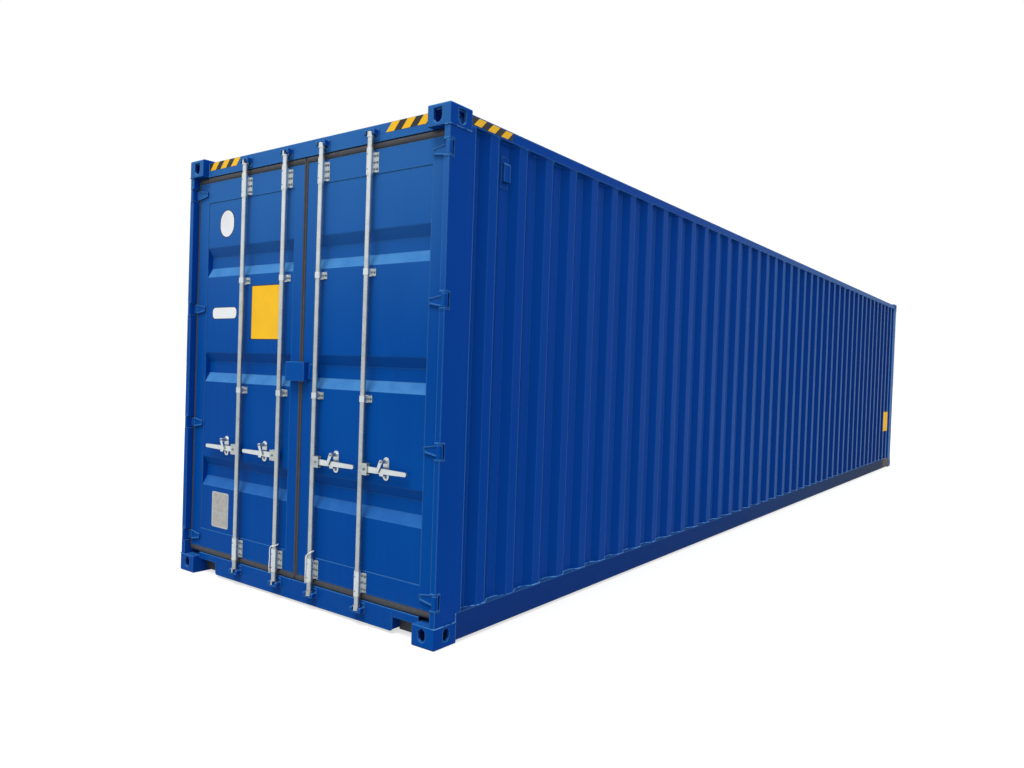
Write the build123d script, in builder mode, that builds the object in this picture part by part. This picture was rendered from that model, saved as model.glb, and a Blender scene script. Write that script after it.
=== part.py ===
from build123d import *
import math
import os

# A 40 ft high-cube dry freight container with two rear doors, in millimetres.
# X runs along the container with the doors at -X, Y runs across it and Z is up.
# The origin lies on the ground, under the middle of the container.
# Right and left are as seen by someone who faces the doors, so right is -Y.

# Overall size, measured over the corner castings
length = 12192.0
width = 2438.0
height = 2896.0

# Corner castings and their standard openings
casting_length = 178.0
casting_width = 162.0
casting_height = 118.0
casting_plate = 28.0
casting_outer_wall = 18.0
casting_inner_wall = 10.0
casting_corner_radius = 14.0
casting_edge_radius = 11.0
lock_slot_length = 124.0
lock_slot_width = 63.5
lock_slot_inset_x = 103.5
lock_slot_inset_y = 89.5
side_hole_inset = 97.0
end_hole_inset = 91.0
bottom_hole_width = 51.0
bottom_hole_height = 72.0
bottom_hole_rise = 68.0
top_hole_width = 62.0
top_hole_height = 80.0
top_hole_drop = 22.0

# Corner posts and the frame around the doors
skin_inset = 6.0
post_inner_inset = 43.0
post_wall = 6.0
post_flange = 42.0
post_flange_return = 48.0
front_post_width = 60.0
frame_recess = 50.0
header_drop = 21.0
header_wall = 4.0
base_bottom = 17.0
sill_top = 142.0
sill_wall = 5.0
sill_depth = 118.0
front_sill_plate = 8.0
front_shelf_depth = 100.0
notch_length = 197.0
notch_drop = 44.0
notch_radius = 18.0
notch_recess = 60.0
weld_gap = 0.5

# Side rails
bottom_rail_top = 165.0
bottom_rail_wall = 4.5
bottom_rail_low_flange = 30.0
top_rail_size = 60.0
top_rail_drop = 24.0
top_rail_wall = 3.0

# Corrugated sheets
wall_sheet = 2.0
wall_inset = 12.0
wall_pitch = 278.0
wall_valley = 70.0
wall_slope = 68.0
wall_depth = 36.0
front_pitch = 250.0
front_crest = 110.0
front_slope = 18.0
front_depth = 45.0
roof_pitch = 209.0
roof_crest = 91.0
roof_slope = 13.5
roof_depth = 16.0
roof_edge_inset = 45.0

# Floor and base
floor_thickness = 28.0
cross_member_flange = 45.0
cross_member_wall = 4.0
cross_member_spacing = 400.0
tunnel_length = 3150.0
tunnel_width = 1029.0
tunnel_height = 120.0
tunnel_plate = 6.0
outrigger_spacing = 480.0

# Doors
door_recess = 55.0
door_thickness = 50.0
door_skin = 4.0
door_edge_gap = 12.0
door_bottom_gap = 40.0
door_top_gap = 41.0
hinge_stile = 110.0
centre_stile = 95.0
door_top_rail = 140.0
door_bottom_rail = 132.0
panel_sheet = 2.0
panel_step = 3.0
band_count = 3
band_low_margin = 410.0
band_high_margin = 417.0
band_flat = 76.0
band_slope = 64.0
band_depth = 34.0
seal_gap = 5.0
seal_thickness = 20.0
seal_centre_gap = 3.0

# Hinges
hinge_inset = 20.0
hinge_low_margin = 71.0
hinge_high_margin = 78.0
hinge_count = 4
knuckle_radius = 18.0
knuckle_half = 38.0
knuckle_gap = 1.0
lug_thickness = 10.0
hinge_pin_radius = 7.0
hinge_pin_clearance = 0.3
hinge_heel_angle = 37.0
blade_thickness = 12.0
blade_root_half = 32.0
blade_tip_half = 17.0
blade_reach = 137.0
blade_rim = 7.0
blade_sink = 4.0
hinge_clearance = 5.0

# Locking bars
bar_inset = 23.0
bar_radius = 16.0
inner_bar_y = 174.0
outer_bar_offset = 9.0
bearing_clearance = 0.5
sleeve_wall = 4.0
bearing_height = 143.0
bearing_plate_height = 115.0
bearing_plate_width = 86.0
bearing_plate = 5.0
upper_bearing_drop = 75.0
lower_bearing_rise = 62.0
guide_drop = 145.0
guide_height = 36.0
guide_plate_height = 44.0
collar_radius = 20.0
collar_height = 7.0
collar_gap = 0.3

# Cams at the bar ends and the keepers that they turn round
cam_radius = 20.0
cam_bore = 11.5
cam_height = 24.0
cam_flange_radius = 22.0
cam_flange = 6.0
cam_gap = 4.0
cam_mouth = 120.0
bar_unlock_angle = 100.0
keeper_boss = 9.0
keeper_plate = 5.0
keeper_width = 90.0
keeper_height = 60.0
keeper_cheek = 16.0
keeper_bridge = 8.0
keeper_reach = 42.0
keeper_clearance = 6.0
keeper_round = 10.0
keeper_flange_gap = 6.0
upper_keeper_rise = 40.0
lower_keeper_drop = 42.0

# Handles, their hubs, retainers and catches
handle_z = 908.0
handle_thickness = 12.0
handle_end_gap = 58.0
handle_root_radius = 18.0
handle_tip_radius = 12.0
hub_offset = 38.0
hub_edge = 24.0
hub_height = 68.0
hub_slot_gap = 1.0
hub_cheek = 6.0
hub_pin_radius = 5.0
hub_pin_clearance = 0.3
retainer_offset = 174.0
retainer_width = 47.0
retainer_below = 55.0
retainer_above = 77.0
retainer_plate = 5.0
shelf_width = 30.0
shelf_thickness = 11.0
shelf_seat_gap = 0.3
catch_thickness = 4.0
catch_clearance = 5.0
catch_root_radius = 12.0
catch_tip_radius = 9.0
catch_drop = 57.0
catch_lean = 27.0
catch_pin_radius = 4.0
catch_pin_clearance = 0.3
catch_pin_head = 1.5

# Lock box on the right door and the lug that it covers on the left door
lock_box_right = -80.0
lock_box_left = 97.0
lock_box_height = 121.0
lock_box_drop = 3.5
lock_box_wall = 5.0
lock_box_inset = 8.0
lock_flange_end = -139.0
lock_flange_start = -20.0
lock_flange_margin = 12.0
lock_gap = 6.0
lug_centre_y = 55.0
lug_plate_width = 50.0
lug_plate_height = 60.0
lug_blade = 8.0
lug_reach = 29.0
lug_hole_radius = 8.0

# Ventilators
vent_plate_width = 70.0
vent_plate_height = 190.0
vent_plate = 3.0
vent_hood_width = 62.0
vent_hood_height = 110.0
vent_hood_depth = 22.0
vent_hood_wall = 2.0
vent_hood_chamfer = 9.0
vent_drop = 172.0
vent_end_gap = 500.0

# Tie ropes on the inner bars
rope_radius = 3.0
rope_bar_gap = 0.4
rope_bend_share = 0.45

# Values that follow from the sizes above
half_length = length / 2
half_width = width / 2
rear = -half_length
side = -half_width
casting_end = half_length - casting_length
casting_side = half_width - casting_width
post_rear = rear + skin_inset
post_outer = side + skin_inset
post_inner = side + post_inner_inset
post_bottom = casting_height
post_top = height - casting_height
header_top = height - header_drop
top_rail_top = height - top_rail_drop
top_rail_bottom = top_rail_top - top_rail_size
notch_top = sill_top - notch_drop
frame_face = rear + frame_recess
door_face = rear + door_recess
door_back = door_face + door_thickness
panel_face = door_face + panel_step
hinge_x = rear + hinge_inset
hinge_y = side + hinge_inset
bar_x = rear + bar_inset
door_bottom = sill_top + door_bottom_gap
door_top = post_top - door_top_gap
sleeve_bore = bar_radius + bearing_clearance
sleeve_radius = sleeve_bore + sleeve_wall
leaf_outer = post_inner + door_edge_gap
leaf_inner = -door_edge_gap
panel_outer = leaf_outer + hinge_stile
panel_inner = leaf_inner - centre_stile
panel_bottom = door_bottom + door_bottom_rail
panel_top = door_top - door_top_rail
hinge_first = door_bottom + hinge_low_margin
hinge_last = door_top - hinge_high_margin
hinge_spacing = (hinge_last - hinge_first) / (hinge_count - 1)
hinge_heights = [hinge_first + hinge_spacing * index for index in range(hinge_count)]
band_first = panel_bottom + band_low_margin
band_spacing = (panel_top - band_high_margin - band_first) / (band_count - 1)
band_centres = [band_first + band_spacing * index for index in range(band_count)]
outer_bar_y = -(leaf_outer + leaf_inner) / 2 + outer_bar_offset
upper_bearing_z = door_top - upper_bearing_drop
lower_bearing_z = door_bottom + lower_bearing_rise
guide_heights = [band_z - guide_drop for band_z in band_centres[1:]]
upper_keeper_z = post_top + upper_keeper_rise
lower_keeper_z = sill_top - lower_keeper_drop
handle_length = outer_bar_y - inner_bar_y - handle_end_gap
retainer_bottom = handle_z - retainer_below
retainer_top = handle_z + retainer_above
lock_z = band_centres[band_count // 2] - lock_box_drop
lock_box_bottom = lock_z - lock_box_height / 2
lock_box_top = lock_z + lock_box_height / 2
floor_top = sill_top + floor_thickness
wall_face = side + wall_inset
end_x_plane = Plane(origin=(rear, 0, 0), x_dir=(0, 1, 0), z_dir=(1, 0, 0))


def save(builder, name):
    """Label a finished piece and write it as its own node."""
    builder.part.label = name
    export_step(builder.part, "parts/" + name + ".step")


def block(x_span, y_span, z_span, mode=Mode.ADD):
    """A box between two limits on each axis, in the part being built."""
    spans = (x_span, y_span, z_span)
    centre = [(low + high) / 2 for low, high in spans]
    size = [abs(high - low) for low, high in spans]
    with Locations(tuple(centre)):
        Box(*size, mode=mode)


def wave(start, end, pitch, flat, slope, depth):
    """Points of a pressed sheet that has a flat at depth 0 at mid run and at both ends."""
    middle = (start + end) / 2
    count = int(((end - start) / 2 + flat / 2 - slope) // pitch)
    points = [(start, 0.0)]
    for index in range(-count, count):
        left = middle + index * pitch + flat / 2
        right = left + pitch - flat
        points += [(left, 0.0), (left + slope, depth), (right - slope, depth), (right, 0.0)]
    return points + [(end, 0.0)]


def sheet(points, thickness):
    """Close a wave into the outline of a sheet of one thickness."""
    return points + [(along, across + thickness) for along, across in reversed(points)]


def cord_radii(points):
    """Bend radii that let each arc use most of the shorter of its two runs."""
    radii = []
    for before, here, after in zip(points, points[1:], points[2:]):
        first = Vector(*here) - Vector(*before)
        second = Vector(*after) - Vector(*here)
        half_turn = math.radians(first.get_angle(second)) / 2
        radii.append(rope_bend_share * min(first.length, second.length) / math.tan(half_turn))
    return radii


os.makedirs("parts", exist_ok=True)

# Corner castings: hollow blocks with a lock slot and a hole in each outer face
slot_centre = (rear + lock_slot_inset_x, side + lock_slot_inset_y)
casting_x = (rear, rear + casting_length)
casting_y = (side, side + casting_width)
chamber_x = (rear + casting_outer_wall, rear + casting_length - casting_inner_wall)
chamber_y = (side + casting_outer_wall, side + casting_width - casting_inner_wall)
end_hole_y = side + end_hole_inset
side_hole_x = rear + side_hole_inset

with BuildPart() as bottom_castings:
    block(casting_x, casting_y, (0, casting_height))
    outer_edge = bottom_castings.edges().filter_by(Axis.Z).sort_by_distance((rear, side, 0))[0]
    fillet(outer_edge, casting_corner_radius)
    low_edges = bottom_castings.edges().group_by(Axis.Z)[0].sort_by_distance((rear, side, 0))
    fillet(low_edges[:3], casting_edge_radius)
    block(chamber_x, chamber_y, (casting_plate, casting_height - casting_inner_wall), Mode.SUBTRACT)
    with BuildSketch(Plane.XY):
        with Locations(slot_centre):
            SlotOverall(lock_slot_length, lock_slot_width)
    extrude(amount=casting_plate, mode=Mode.SUBTRACT)
    with BuildSketch(end_x_plane):
        with Locations((end_hole_y, bottom_hole_rise)):
            SlotOverall(bottom_hole_height, bottom_hole_width, rotation=90)
    extrude(amount=casting_outer_wall, mode=Mode.SUBTRACT)
    with BuildSketch(Plane(origin=(side_hole_x, side, 0), x_dir=(-1, 0, 0), z_dir=(0, 1, 0))):
        with Locations((0, bottom_hole_rise)):
            SlotOverall(bottom_hole_height, bottom_hole_width, rotation=90)
    extrude(amount=casting_outer_wall, mode=Mode.SUBTRACT)
    mirror(about=Plane.YZ)
    mirror(about=Plane.XZ)
save(bottom_castings, "bottom_corner_castings")

top_hole_top = height - top_hole_drop
top_hole_straight = top_hole_height - top_hole_width / 2
with BuildPart() as top_castings:
    block(casting_x, casting_y, (height - casting_height, height))
    outer_edge = top_castings.edges().filter_by(Axis.Z).sort_by_distance((rear, side, height))[0]
    fillet(outer_edge, casting_corner_radius)
    high_edges = top_castings.edges().group_by(Axis.Z)[-1].sort_by_distance((rear, side, height))
    fillet(high_edges[:3], casting_edge_radius)
    chamber_z = (height - casting_height + casting_inner_wall, height - casting_plate)
    block(chamber_x, chamber_y, chamber_z, Mode.SUBTRACT)
    with BuildSketch(Plane.XY.offset(height - casting_plate)):
        with Locations(slot_centre):
            SlotOverall(lock_slot_length, lock_slot_width)
    extrude(amount=casting_plate, mode=Mode.SUBTRACT)
    with BuildSketch(end_x_plane):
        with Locations((end_hole_y, top_hole_top)):
            Rectangle(top_hole_width, top_hole_straight, align=(Align.CENTER, Align.MAX))
        with Locations((end_hole_y, top_hole_top - top_hole_straight)):
            Circle(top_hole_width / 2)
    extrude(amount=casting_outer_wall, mode=Mode.SUBTRACT)
    with BuildSketch(Plane(origin=(side_hole_x, side, 0), x_dir=(-1, 0, 0), z_dir=(0, 1, 0))):
        with Locations((0, top_hole_top)):
            Rectangle(top_hole_width, top_hole_straight, align=(Align.CENTER, Align.MAX))
        with Locations((0, top_hole_top - top_hole_straight)):
            Circle(top_hole_width / 2)
    extrude(amount=casting_outer_wall, mode=Mode.SUBTRACT)
    mirror(about=Plane.YZ)
    mirror(about=Plane.XZ)
save(top_castings, "top_corner_castings")

# Rear posts: tubes with pockets and lugs for the door hinges, and a flange that the wall ends on
post_end = rear + casting_length
wall_end = casting_end - post_flange
flange_y = (post_outer, post_outer + post_wall)
return_y = (post_outer, post_outer + post_flange_return)
flange_z = (bottom_rail_top, top_rail_bottom)
pocket_half = knuckle_half + knuckle_gap
pocket_side_end = hinge_x + knuckle_radius + hinge_clearance
pocket_inner_end = door_face + hinge_clearance
lug_half = pocket_half + lug_thickness
with BuildPart() as rear_posts:
    with BuildSketch(Plane.XY.offset(post_bottom)):
        with Locations(((post_rear + post_end) / 2, (post_outer + post_inner) / 2)):
            Rectangle(post_end - post_rear, post_inner - post_outer)
            Rectangle(post_end - post_rear - 2 * post_wall, post_inner - post_outer - 2 * post_wall,
                      mode=Mode.SUBTRACT)
    extrude(amount=post_top - post_bottom)
    block((post_end, -wall_end), flange_y, flange_z)
    block((-wall_end - post_wall, -wall_end), return_y, flange_z)
    for hinge_z in hinge_heights:
        pocket_z = (hinge_z - pocket_half, hinge_z + pocket_half)
        block((rear, pocket_side_end), (side, post_inner), pocket_z, Mode.SUBTRACT)
        block((rear, pocket_inner_end), (post_outer + post_wall, post_inner), pocket_z, Mode.SUBTRACT)
        for lug_z in (hinge_z - lug_half, hinge_z + pocket_half):
            with BuildSketch(Plane.XY.offset(lug_z)):
                with Locations((hinge_x, hinge_y)):
                    Circle(knuckle_radius)
                    Rectangle(pocket_side_end - hinge_x, post_inner - hinge_y,
                              align=(Align.MIN, Align.MIN))
                    Rectangle(pocket_side_end - hinge_x, knuckle_radius, align=(Align.MIN, Align.MAX))
                    Rectangle(knuckle_radius, post_inner - hinge_y, align=(Align.MAX, Align.MIN))
                    Circle(hinge_pin_radius + hinge_pin_clearance, mode=Mode.SUBTRACT)
            extrude(amount=lug_thickness)
    mirror(about=Plane.XZ)
save(rear_posts, "rear_corner_posts")

# Front posts: plain tubes with the same flange
front_post_end = half_length - skin_inset
with BuildPart() as front_posts:
    with BuildSketch(Plane.XY.offset(post_bottom)):
        with Locations(((casting_end + front_post_end) / 2, post_outer + front_post_width / 2)):
            Rectangle(front_post_end - casting_end, front_post_width)
            Rectangle(front_post_end - casting_end - 2 * post_wall, front_post_width - 2 * post_wall,
                      mode=Mode.SUBTRACT)
    extrude(amount=post_top - post_bottom)
    block((wall_end, casting_end), flange_y, flange_z)
    block((wall_end, wall_end + post_wall), return_y, flange_z)
    mirror(about=Plane.XZ)
save(front_posts, "front_corner_posts")

# Headers: hollow boxes between the top castings
header_spans = {"door_header": (frame_face, -casting_end), "front_header": (casting_end, front_post_end)}
for name, (header_start, header_end) in header_spans.items():
    with BuildPart() as header:
        with BuildSketch(Plane.XZ):
            with Locations(((header_start + header_end) / 2, (post_top + header_top) / 2)):
                Rectangle(header_end - header_start, header_top - post_top)
                Rectangle(header_end - header_start - 2 * header_wall,
                          header_top - post_top - 2 * header_wall, mode=Mode.SUBTRACT)
        extrude(amount=casting_side, both=True)
    save(header, name)

# Door sill: a pressed section with a step behind the doors and a notch beside each casting
sill_back = frame_face + sill_depth
step_x = door_back + seal_gap
notch_start = casting_side - notch_length
with BuildPart() as door_sill:
    with BuildSketch(Plane.XZ):
        with BuildLine():
            Polyline(
                (frame_face, base_bottom),
                (frame_face, sill_top),
                (step_x, sill_top),
                (step_x, floor_top),
                (sill_back, floor_top),
                (sill_back, base_bottom),
                (sill_back - sill_wall, base_bottom),
                (sill_back - sill_wall, floor_top - sill_wall),
                (step_x + sill_wall, floor_top - sill_wall),
                (step_x + sill_wall, sill_top - sill_wall),
                (frame_face + sill_wall, sill_top - sill_wall),
                (frame_face + sill_wall, base_bottom),
                close=True,
            )
        make_face()
    extrude(amount=casting_side, both=True)
    for notch_span in ((-casting_side, -notch_start), (notch_start, casting_side)):
        block((frame_face, sill_back), notch_span, (0, notch_top), Mode.SUBTRACT)
        block((frame_face, sill_back), notch_span, (notch_top, notch_top + sill_wall))
    low_edges = door_sill.edges().filter_by(Axis.X).group_by(Axis.Z)[0]
    fillet(low_edges, notch_radius)
    plate_far = notch_start - sill_wall
    plate_near = plate_far - sill_wall
    for plate_y in ((-plate_far, -plate_near), (plate_near, plate_far)):
        block((frame_face + sill_wall / 2, sill_back - sill_wall / 2), plate_y,
              (base_bottom + notch_radius / 2, sill_top - sill_wall / 2))
save(door_sill, "door_sill")

# Front sill: welded plates beside and over the gooseneck tunnel, with a shelf for wall and floor
front_post_inner = -post_outer - front_post_width
shelf_start = front_post_end - front_shelf_depth
tunnel_half = tunnel_width / 2
shelf_bottom = sill_top - sill_wall
front_plate_x = (front_post_end - front_sill_plate, front_post_end)
with BuildPart() as front_sill:
    for plate_y in ((-casting_side, -tunnel_half), (tunnel_half, casting_side)):
        block(front_plate_x, plate_y, (base_bottom, tunnel_height - weld_gap))
    block(front_plate_x, (-front_post_inner, front_post_inner), (tunnel_height, shelf_bottom - weld_gap))
    block((shelf_start, front_post_end), (-front_post_inner, front_post_inner), (shelf_bottom, sill_top))
save(front_sill, "front_sill")

# Bottom side rails: channels that open inwards, with the walls standing on them
with BuildPart() as bottom_rails:
    with BuildSketch(Plane.YZ):
        rail_height = bottom_rail_top - base_bottom
        with Locations((post_outer, base_bottom)):
            Rectangle(bottom_rail_wall, rail_height, align=(Align.MIN, Align.MIN))
            Rectangle(bottom_rail_low_flange, bottom_rail_wall, align=(Align.MIN, Align.MIN))
        with Locations((post_outer, bottom_rail_top)):
            Rectangle(front_post_width, bottom_rail_wall, align=(Align.MIN, Align.MAX))
    extrude(amount=casting_end, both=True)
    mirror(about=Plane.XZ)
save(bottom_rails, "bottom_side_rails")

# Top side rails: square tubes
with BuildPart() as top_rails:
    with BuildSketch(Plane.YZ):
        with Locations((post_outer + top_rail_size / 2, top_rail_bottom + top_rail_size / 2)):
            Rectangle(top_rail_size, top_rail_size)
            Rectangle(top_rail_size - 2 * top_rail_wall, top_rail_size - 2 * top_rail_wall,
                      mode=Mode.SUBTRACT)
    extrude(amount=casting_end, both=True)
    mirror(about=Plane.XZ)
save(top_rails, "top_side_rails")

# Side walls: trapezoid sheets on the bottom rails, under the top rails, with valleys at the posts
valley_face = wall_face + wall_depth
wall_line = sheet(wave(-wall_end, wall_end, wall_pitch, wall_valley, wall_slope, -wall_depth), wall_sheet)
with BuildPart() as right_wall:
    with BuildSketch(Plane.XY.offset(bottom_rail_top)):
        with BuildLine():
            Polyline(*[(along, valley_face + across) for along, across in wall_line], close=True)
        make_face()
    extrude(amount=top_rail_bottom - bottom_rail_top)
save(right_wall, "right_side_wall")

with BuildPart() as left_wall:
    mirror(right_wall.part, about=Plane.XZ)
save(left_wall, "left_side_wall")

# Front wall: a deeper sheet between the front posts
front_face = half_length - wall_inset
front_line = sheet(wave(-front_post_inner, front_post_inner, front_pitch, front_crest, front_slope,
                        front_depth), wall_sheet)
with BuildPart() as front_wall:
    with BuildSketch(Plane.XY.offset(sill_top)):
        with BuildLine():
            Polyline(*[(front_face - across, along) for along, across in front_line], close=True)
        make_face()
    extrude(amount=post_top - sill_top)
save(front_wall, "front_wall")

# Roof: a sheet with ribs pressed across it, on top of the side rails
roof_line = sheet(wave(-casting_end, casting_end, roof_pitch, roof_crest, roof_slope, roof_depth), wall_sheet)
with BuildPart() as roof:
    with BuildSketch(Plane.XZ):
        with BuildLine():
            Polyline(*[(along, top_rail_top + across) for along, across in roof_line], close=True)
        make_face()
    extrude(amount=half_width - roof_edge_inset, both=True)
save(roof, "roof_panel")

# Floor, the channels under it and the tunnel for a gooseneck trailer
floor_end = front_face - front_depth - wall_sheet
tunnel_start = half_length - tunnel_length
with BuildPart() as floor_boards:
    block((sill_back, floor_end), (-front_post_inner, front_post_inner), (sill_top, floor_top))
save(floor_boards, "floor_boards")

rail_web = -post_outer - bottom_rail_wall
member_bottom = base_bottom + bottom_rail_wall
tunnel_web = tunnel_half + tunnel_plate


def evenly(start, end, spacing):
    """Places between two limits, near one spacing and evenly spread."""
    count = max(1, round((end - start) / spacing))
    gap = (end - start) / count
    return [start + gap * (index + 0.5) for index in range(count)]


notch_plate_x = (frame_face + notch_recess, frame_face + notch_recess + sill_wall)
with BuildPart() as cross_members:
    for plate_y in ((-casting_side, -notch_start), (notch_start, casting_side)):
        block(notch_plate_x, plate_y, (base_bottom, notch_top))
    for member_x in evenly(sill_back, tunnel_start, cross_member_spacing):
        with BuildSketch(Plane.XZ):
            with Locations((member_x, member_bottom)):
                Rectangle(cross_member_wall, sill_top - member_bottom, align=(Align.MIN, Align.MIN))
                Rectangle(cross_member_flange, cross_member_wall, align=(Align.MIN, Align.MIN))
            with Locations((member_x, sill_top)):
                Rectangle(cross_member_flange, cross_member_wall, align=(Align.MIN, Align.MAX))
        extrude(amount=rail_web, both=True)
    for member_x in evenly(tunnel_start, shelf_start, outrigger_spacing):
        for low, high in ((-rail_web, -tunnel_web), (tunnel_web, rail_web)):
            with BuildSketch(Plane.XZ.offset(-high)):
                with Locations((member_x, member_bottom)):
                    Rectangle(cross_member_wall, sill_top - member_bottom, align=(Align.MIN, Align.MIN))
                    Rectangle(cross_member_flange, cross_member_wall, align=(Align.MIN, Align.MIN))
                with Locations((member_x, sill_top)):
                    Rectangle(cross_member_flange, cross_member_wall, align=(Align.MIN, Align.MAX))
            extrude(amount=high - low)
save(cross_members, "cross_members")

tunnel_x = (tunnel_start, front_plate_x[0] - weld_gap)
bow_bottom = tunnel_height + tunnel_plate + weld_gap
with BuildPart() as tunnel:
    for web_y in ((-tunnel_web, -tunnel_half), (tunnel_half, tunnel_web)):
        block(tunnel_x, web_y, (base_bottom, tunnel_height - weld_gap))
    block(tunnel_x, (-tunnel_web, tunnel_web), (tunnel_height, tunnel_height + tunnel_plate))
    for bow_x in evenly(tunnel_start, shelf_start, outrigger_spacing):
        block((bow_x, bow_x + cross_member_flange), (-tunnel_web, tunnel_web), (bow_bottom, sill_top))
save(tunnel, "gooseneck_tunnel")

# Ventilators: a plate in one valley of each side wall, under a hood that opens downwards
vent_x = wall_pitch * ((half_length - vent_end_gap) // wall_pitch)
vent_z = top_rail_bottom - vent_drop
vent_back = valley_face - vent_plate
vent_front = vent_back - vent_hood_depth
hood_bottom = vent_z - vent_hood_height / 2
hood_top = vent_z + vent_hood_height / 2
hood_half = vent_hood_width / 2
with BuildPart() as ventilator:
    block((-hood_half, hood_half), (vent_front, vent_back), (hood_bottom, hood_top))
    front_edge = ventilator.edges().filter_by(Axis.X).group_by(Axis.Z)[-1].sort_by(Axis.Y)[0]
    chamfer(front_edge, vent_hood_chamfer)
    block((vent_hood_wall - hood_half, hood_half - vent_hood_wall), (vent_front + vent_hood_wall, vent_back),
          (hood_bottom, hood_top - vent_hood_chamfer), Mode.SUBTRACT)
    block((-vent_plate_width / 2, vent_plate_width / 2), (vent_back, valley_face),
          (vent_z - vent_plate_height / 2, vent_z + vent_plate_height / 2))

with BuildPart() as ventilators:
    with Locations((-vent_x, 0, 0), Location((vent_x, 0, 0), (0, 0, 180))):
        add(ventilator.part)
save(ventilators, "ventilators")

# Cam keepers: a bridge on two cheeks that holds a boss for the cam to close round
keeper_x = (frame_face - keeper_reach, frame_face - keeper_plate)
keeper_half = cam_radius + keeper_clearance + keeper_cheek
cam_top = cam_height / 2
bridge_z = (cam_top + cam_gap, cam_top + cam_gap + keeper_bridge)
with BuildPart() as keeper:
    block((frame_face - keeper_plate, frame_face), (-keeper_width / 2, keeper_width / 2),
          (-keeper_height / 2, keeper_height / 2))
    block(keeper_x, (-keeper_half, keeper_half), bridge_z)
    for sign in (-1, 1):
        block(keeper_x, (sign * (keeper_half - keeper_cheek), sign * keeper_half),
              (keeper_flange_gap - cam_top, bridge_z[0]))
    front_edges = keeper.edges().filter_by(Axis.Y).group_by(Axis.X)[0]
    fillet(front_edges.group_by(Axis.Z)[0], keeper_round)
    with Locations((bar_x, 0, bridge_z[0])):
        Cylinder(keeper_boss, cam_height, align=(Align.CENTER, Align.CENTER, Align.MAX))

with BuildPart() as keeper_below:
    mirror(keeper.part, about=Plane.XY)

bar_places = (-outer_bar_y, -inner_bar_y, inner_bar_y, outer_bar_y)
with BuildPart() as keepers:
    with Locations(*[(0, bar_y, upper_keeper_z) for bar_y in bar_places]):
        add(keeper.part)
    with Locations(*[(0, bar_y, lower_keeper_z) for bar_y in bar_places]):
        add(keeper_below.part)
save(keepers, "cam_keepers")

# Door frames: pressed rings that open towards the cargo
leaf_plane = Plane(origin=(door_face, 0, 0), x_dir=(0, 1, 0), z_dir=(1, 0, 0))
leaf_centre = ((leaf_outer + leaf_inner) / 2, (door_bottom + door_top) / 2)
leaf_size = (leaf_inner - leaf_outer, door_top - door_bottom)
hole_centre = ((panel_outer + panel_inner) / 2, (panel_bottom + panel_top) / 2)
hole_size = (panel_inner - panel_outer, panel_top - panel_bottom)
with BuildPart() as right_frame:
    with BuildSketch(leaf_plane):
        with Locations(leaf_centre):
            Rectangle(*leaf_size)
        with Locations(hole_centre):
            Rectangle(*hole_size, mode=Mode.SUBTRACT)
    extrude(amount=door_thickness)
    with BuildSketch(leaf_plane.offset(door_skin)):
        with Locations(leaf_centre):
            Rectangle(leaf_size[0] - 2 * door_skin, leaf_size[1] - 2 * door_skin)
        with Locations(hole_centre):
            Rectangle(hole_size[0] + 2 * door_skin, hole_size[1] + 2 * door_skin, mode=Mode.SUBTRACT)
    extrude(amount=door_thickness - door_skin, mode=Mode.SUBTRACT)
save(right_frame, "right_door_frame")

# Door panels: sheets with bands pressed in across the door
band_half = band_flat / 2 + band_slope
panel_line = [(0.0, panel_bottom)]
for band_z in band_centres:
    panel_line += [(0.0, band_z - band_half), (band_depth, band_z - band_flat / 2),
                   (band_depth, band_z + band_flat / 2), (0.0, band_z + band_half)]
panel_line.append((0.0, panel_top))
panel_loop = panel_line + [(depth + panel_sheet, z) for depth, z in reversed(panel_line)]
with BuildPart() as right_panel:
    with BuildSketch(Plane.XZ.offset(-panel_inner)):
        with BuildLine():
            Polyline(*[(panel_face + depth, z) for depth, z in panel_loop], close=True)
        make_face()
    extrude(amount=panel_inner - panel_outer)
save(right_panel, "right_door_panel")

# Door seals: rubber rings round the leaves, short of the frame
seal_y = (post_inner + seal_gap, -seal_centre_gap)
seal_z = (sill_top + seal_gap, post_top - seal_gap)
with BuildPart() as right_seal:
    with BuildSketch(leaf_plane):
        with Locations(((seal_y[0] + seal_y[1]) / 2, (seal_z[0] + seal_z[1]) / 2)):
            Rectangle(seal_y[1] - seal_y[0], seal_z[1] - seal_z[0])
        with Locations(leaf_centre):
            Rectangle(*leaf_size, mode=Mode.SUBTRACT)
    extrude(amount=seal_thickness)
save(right_seal, "right_door_seal")

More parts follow.
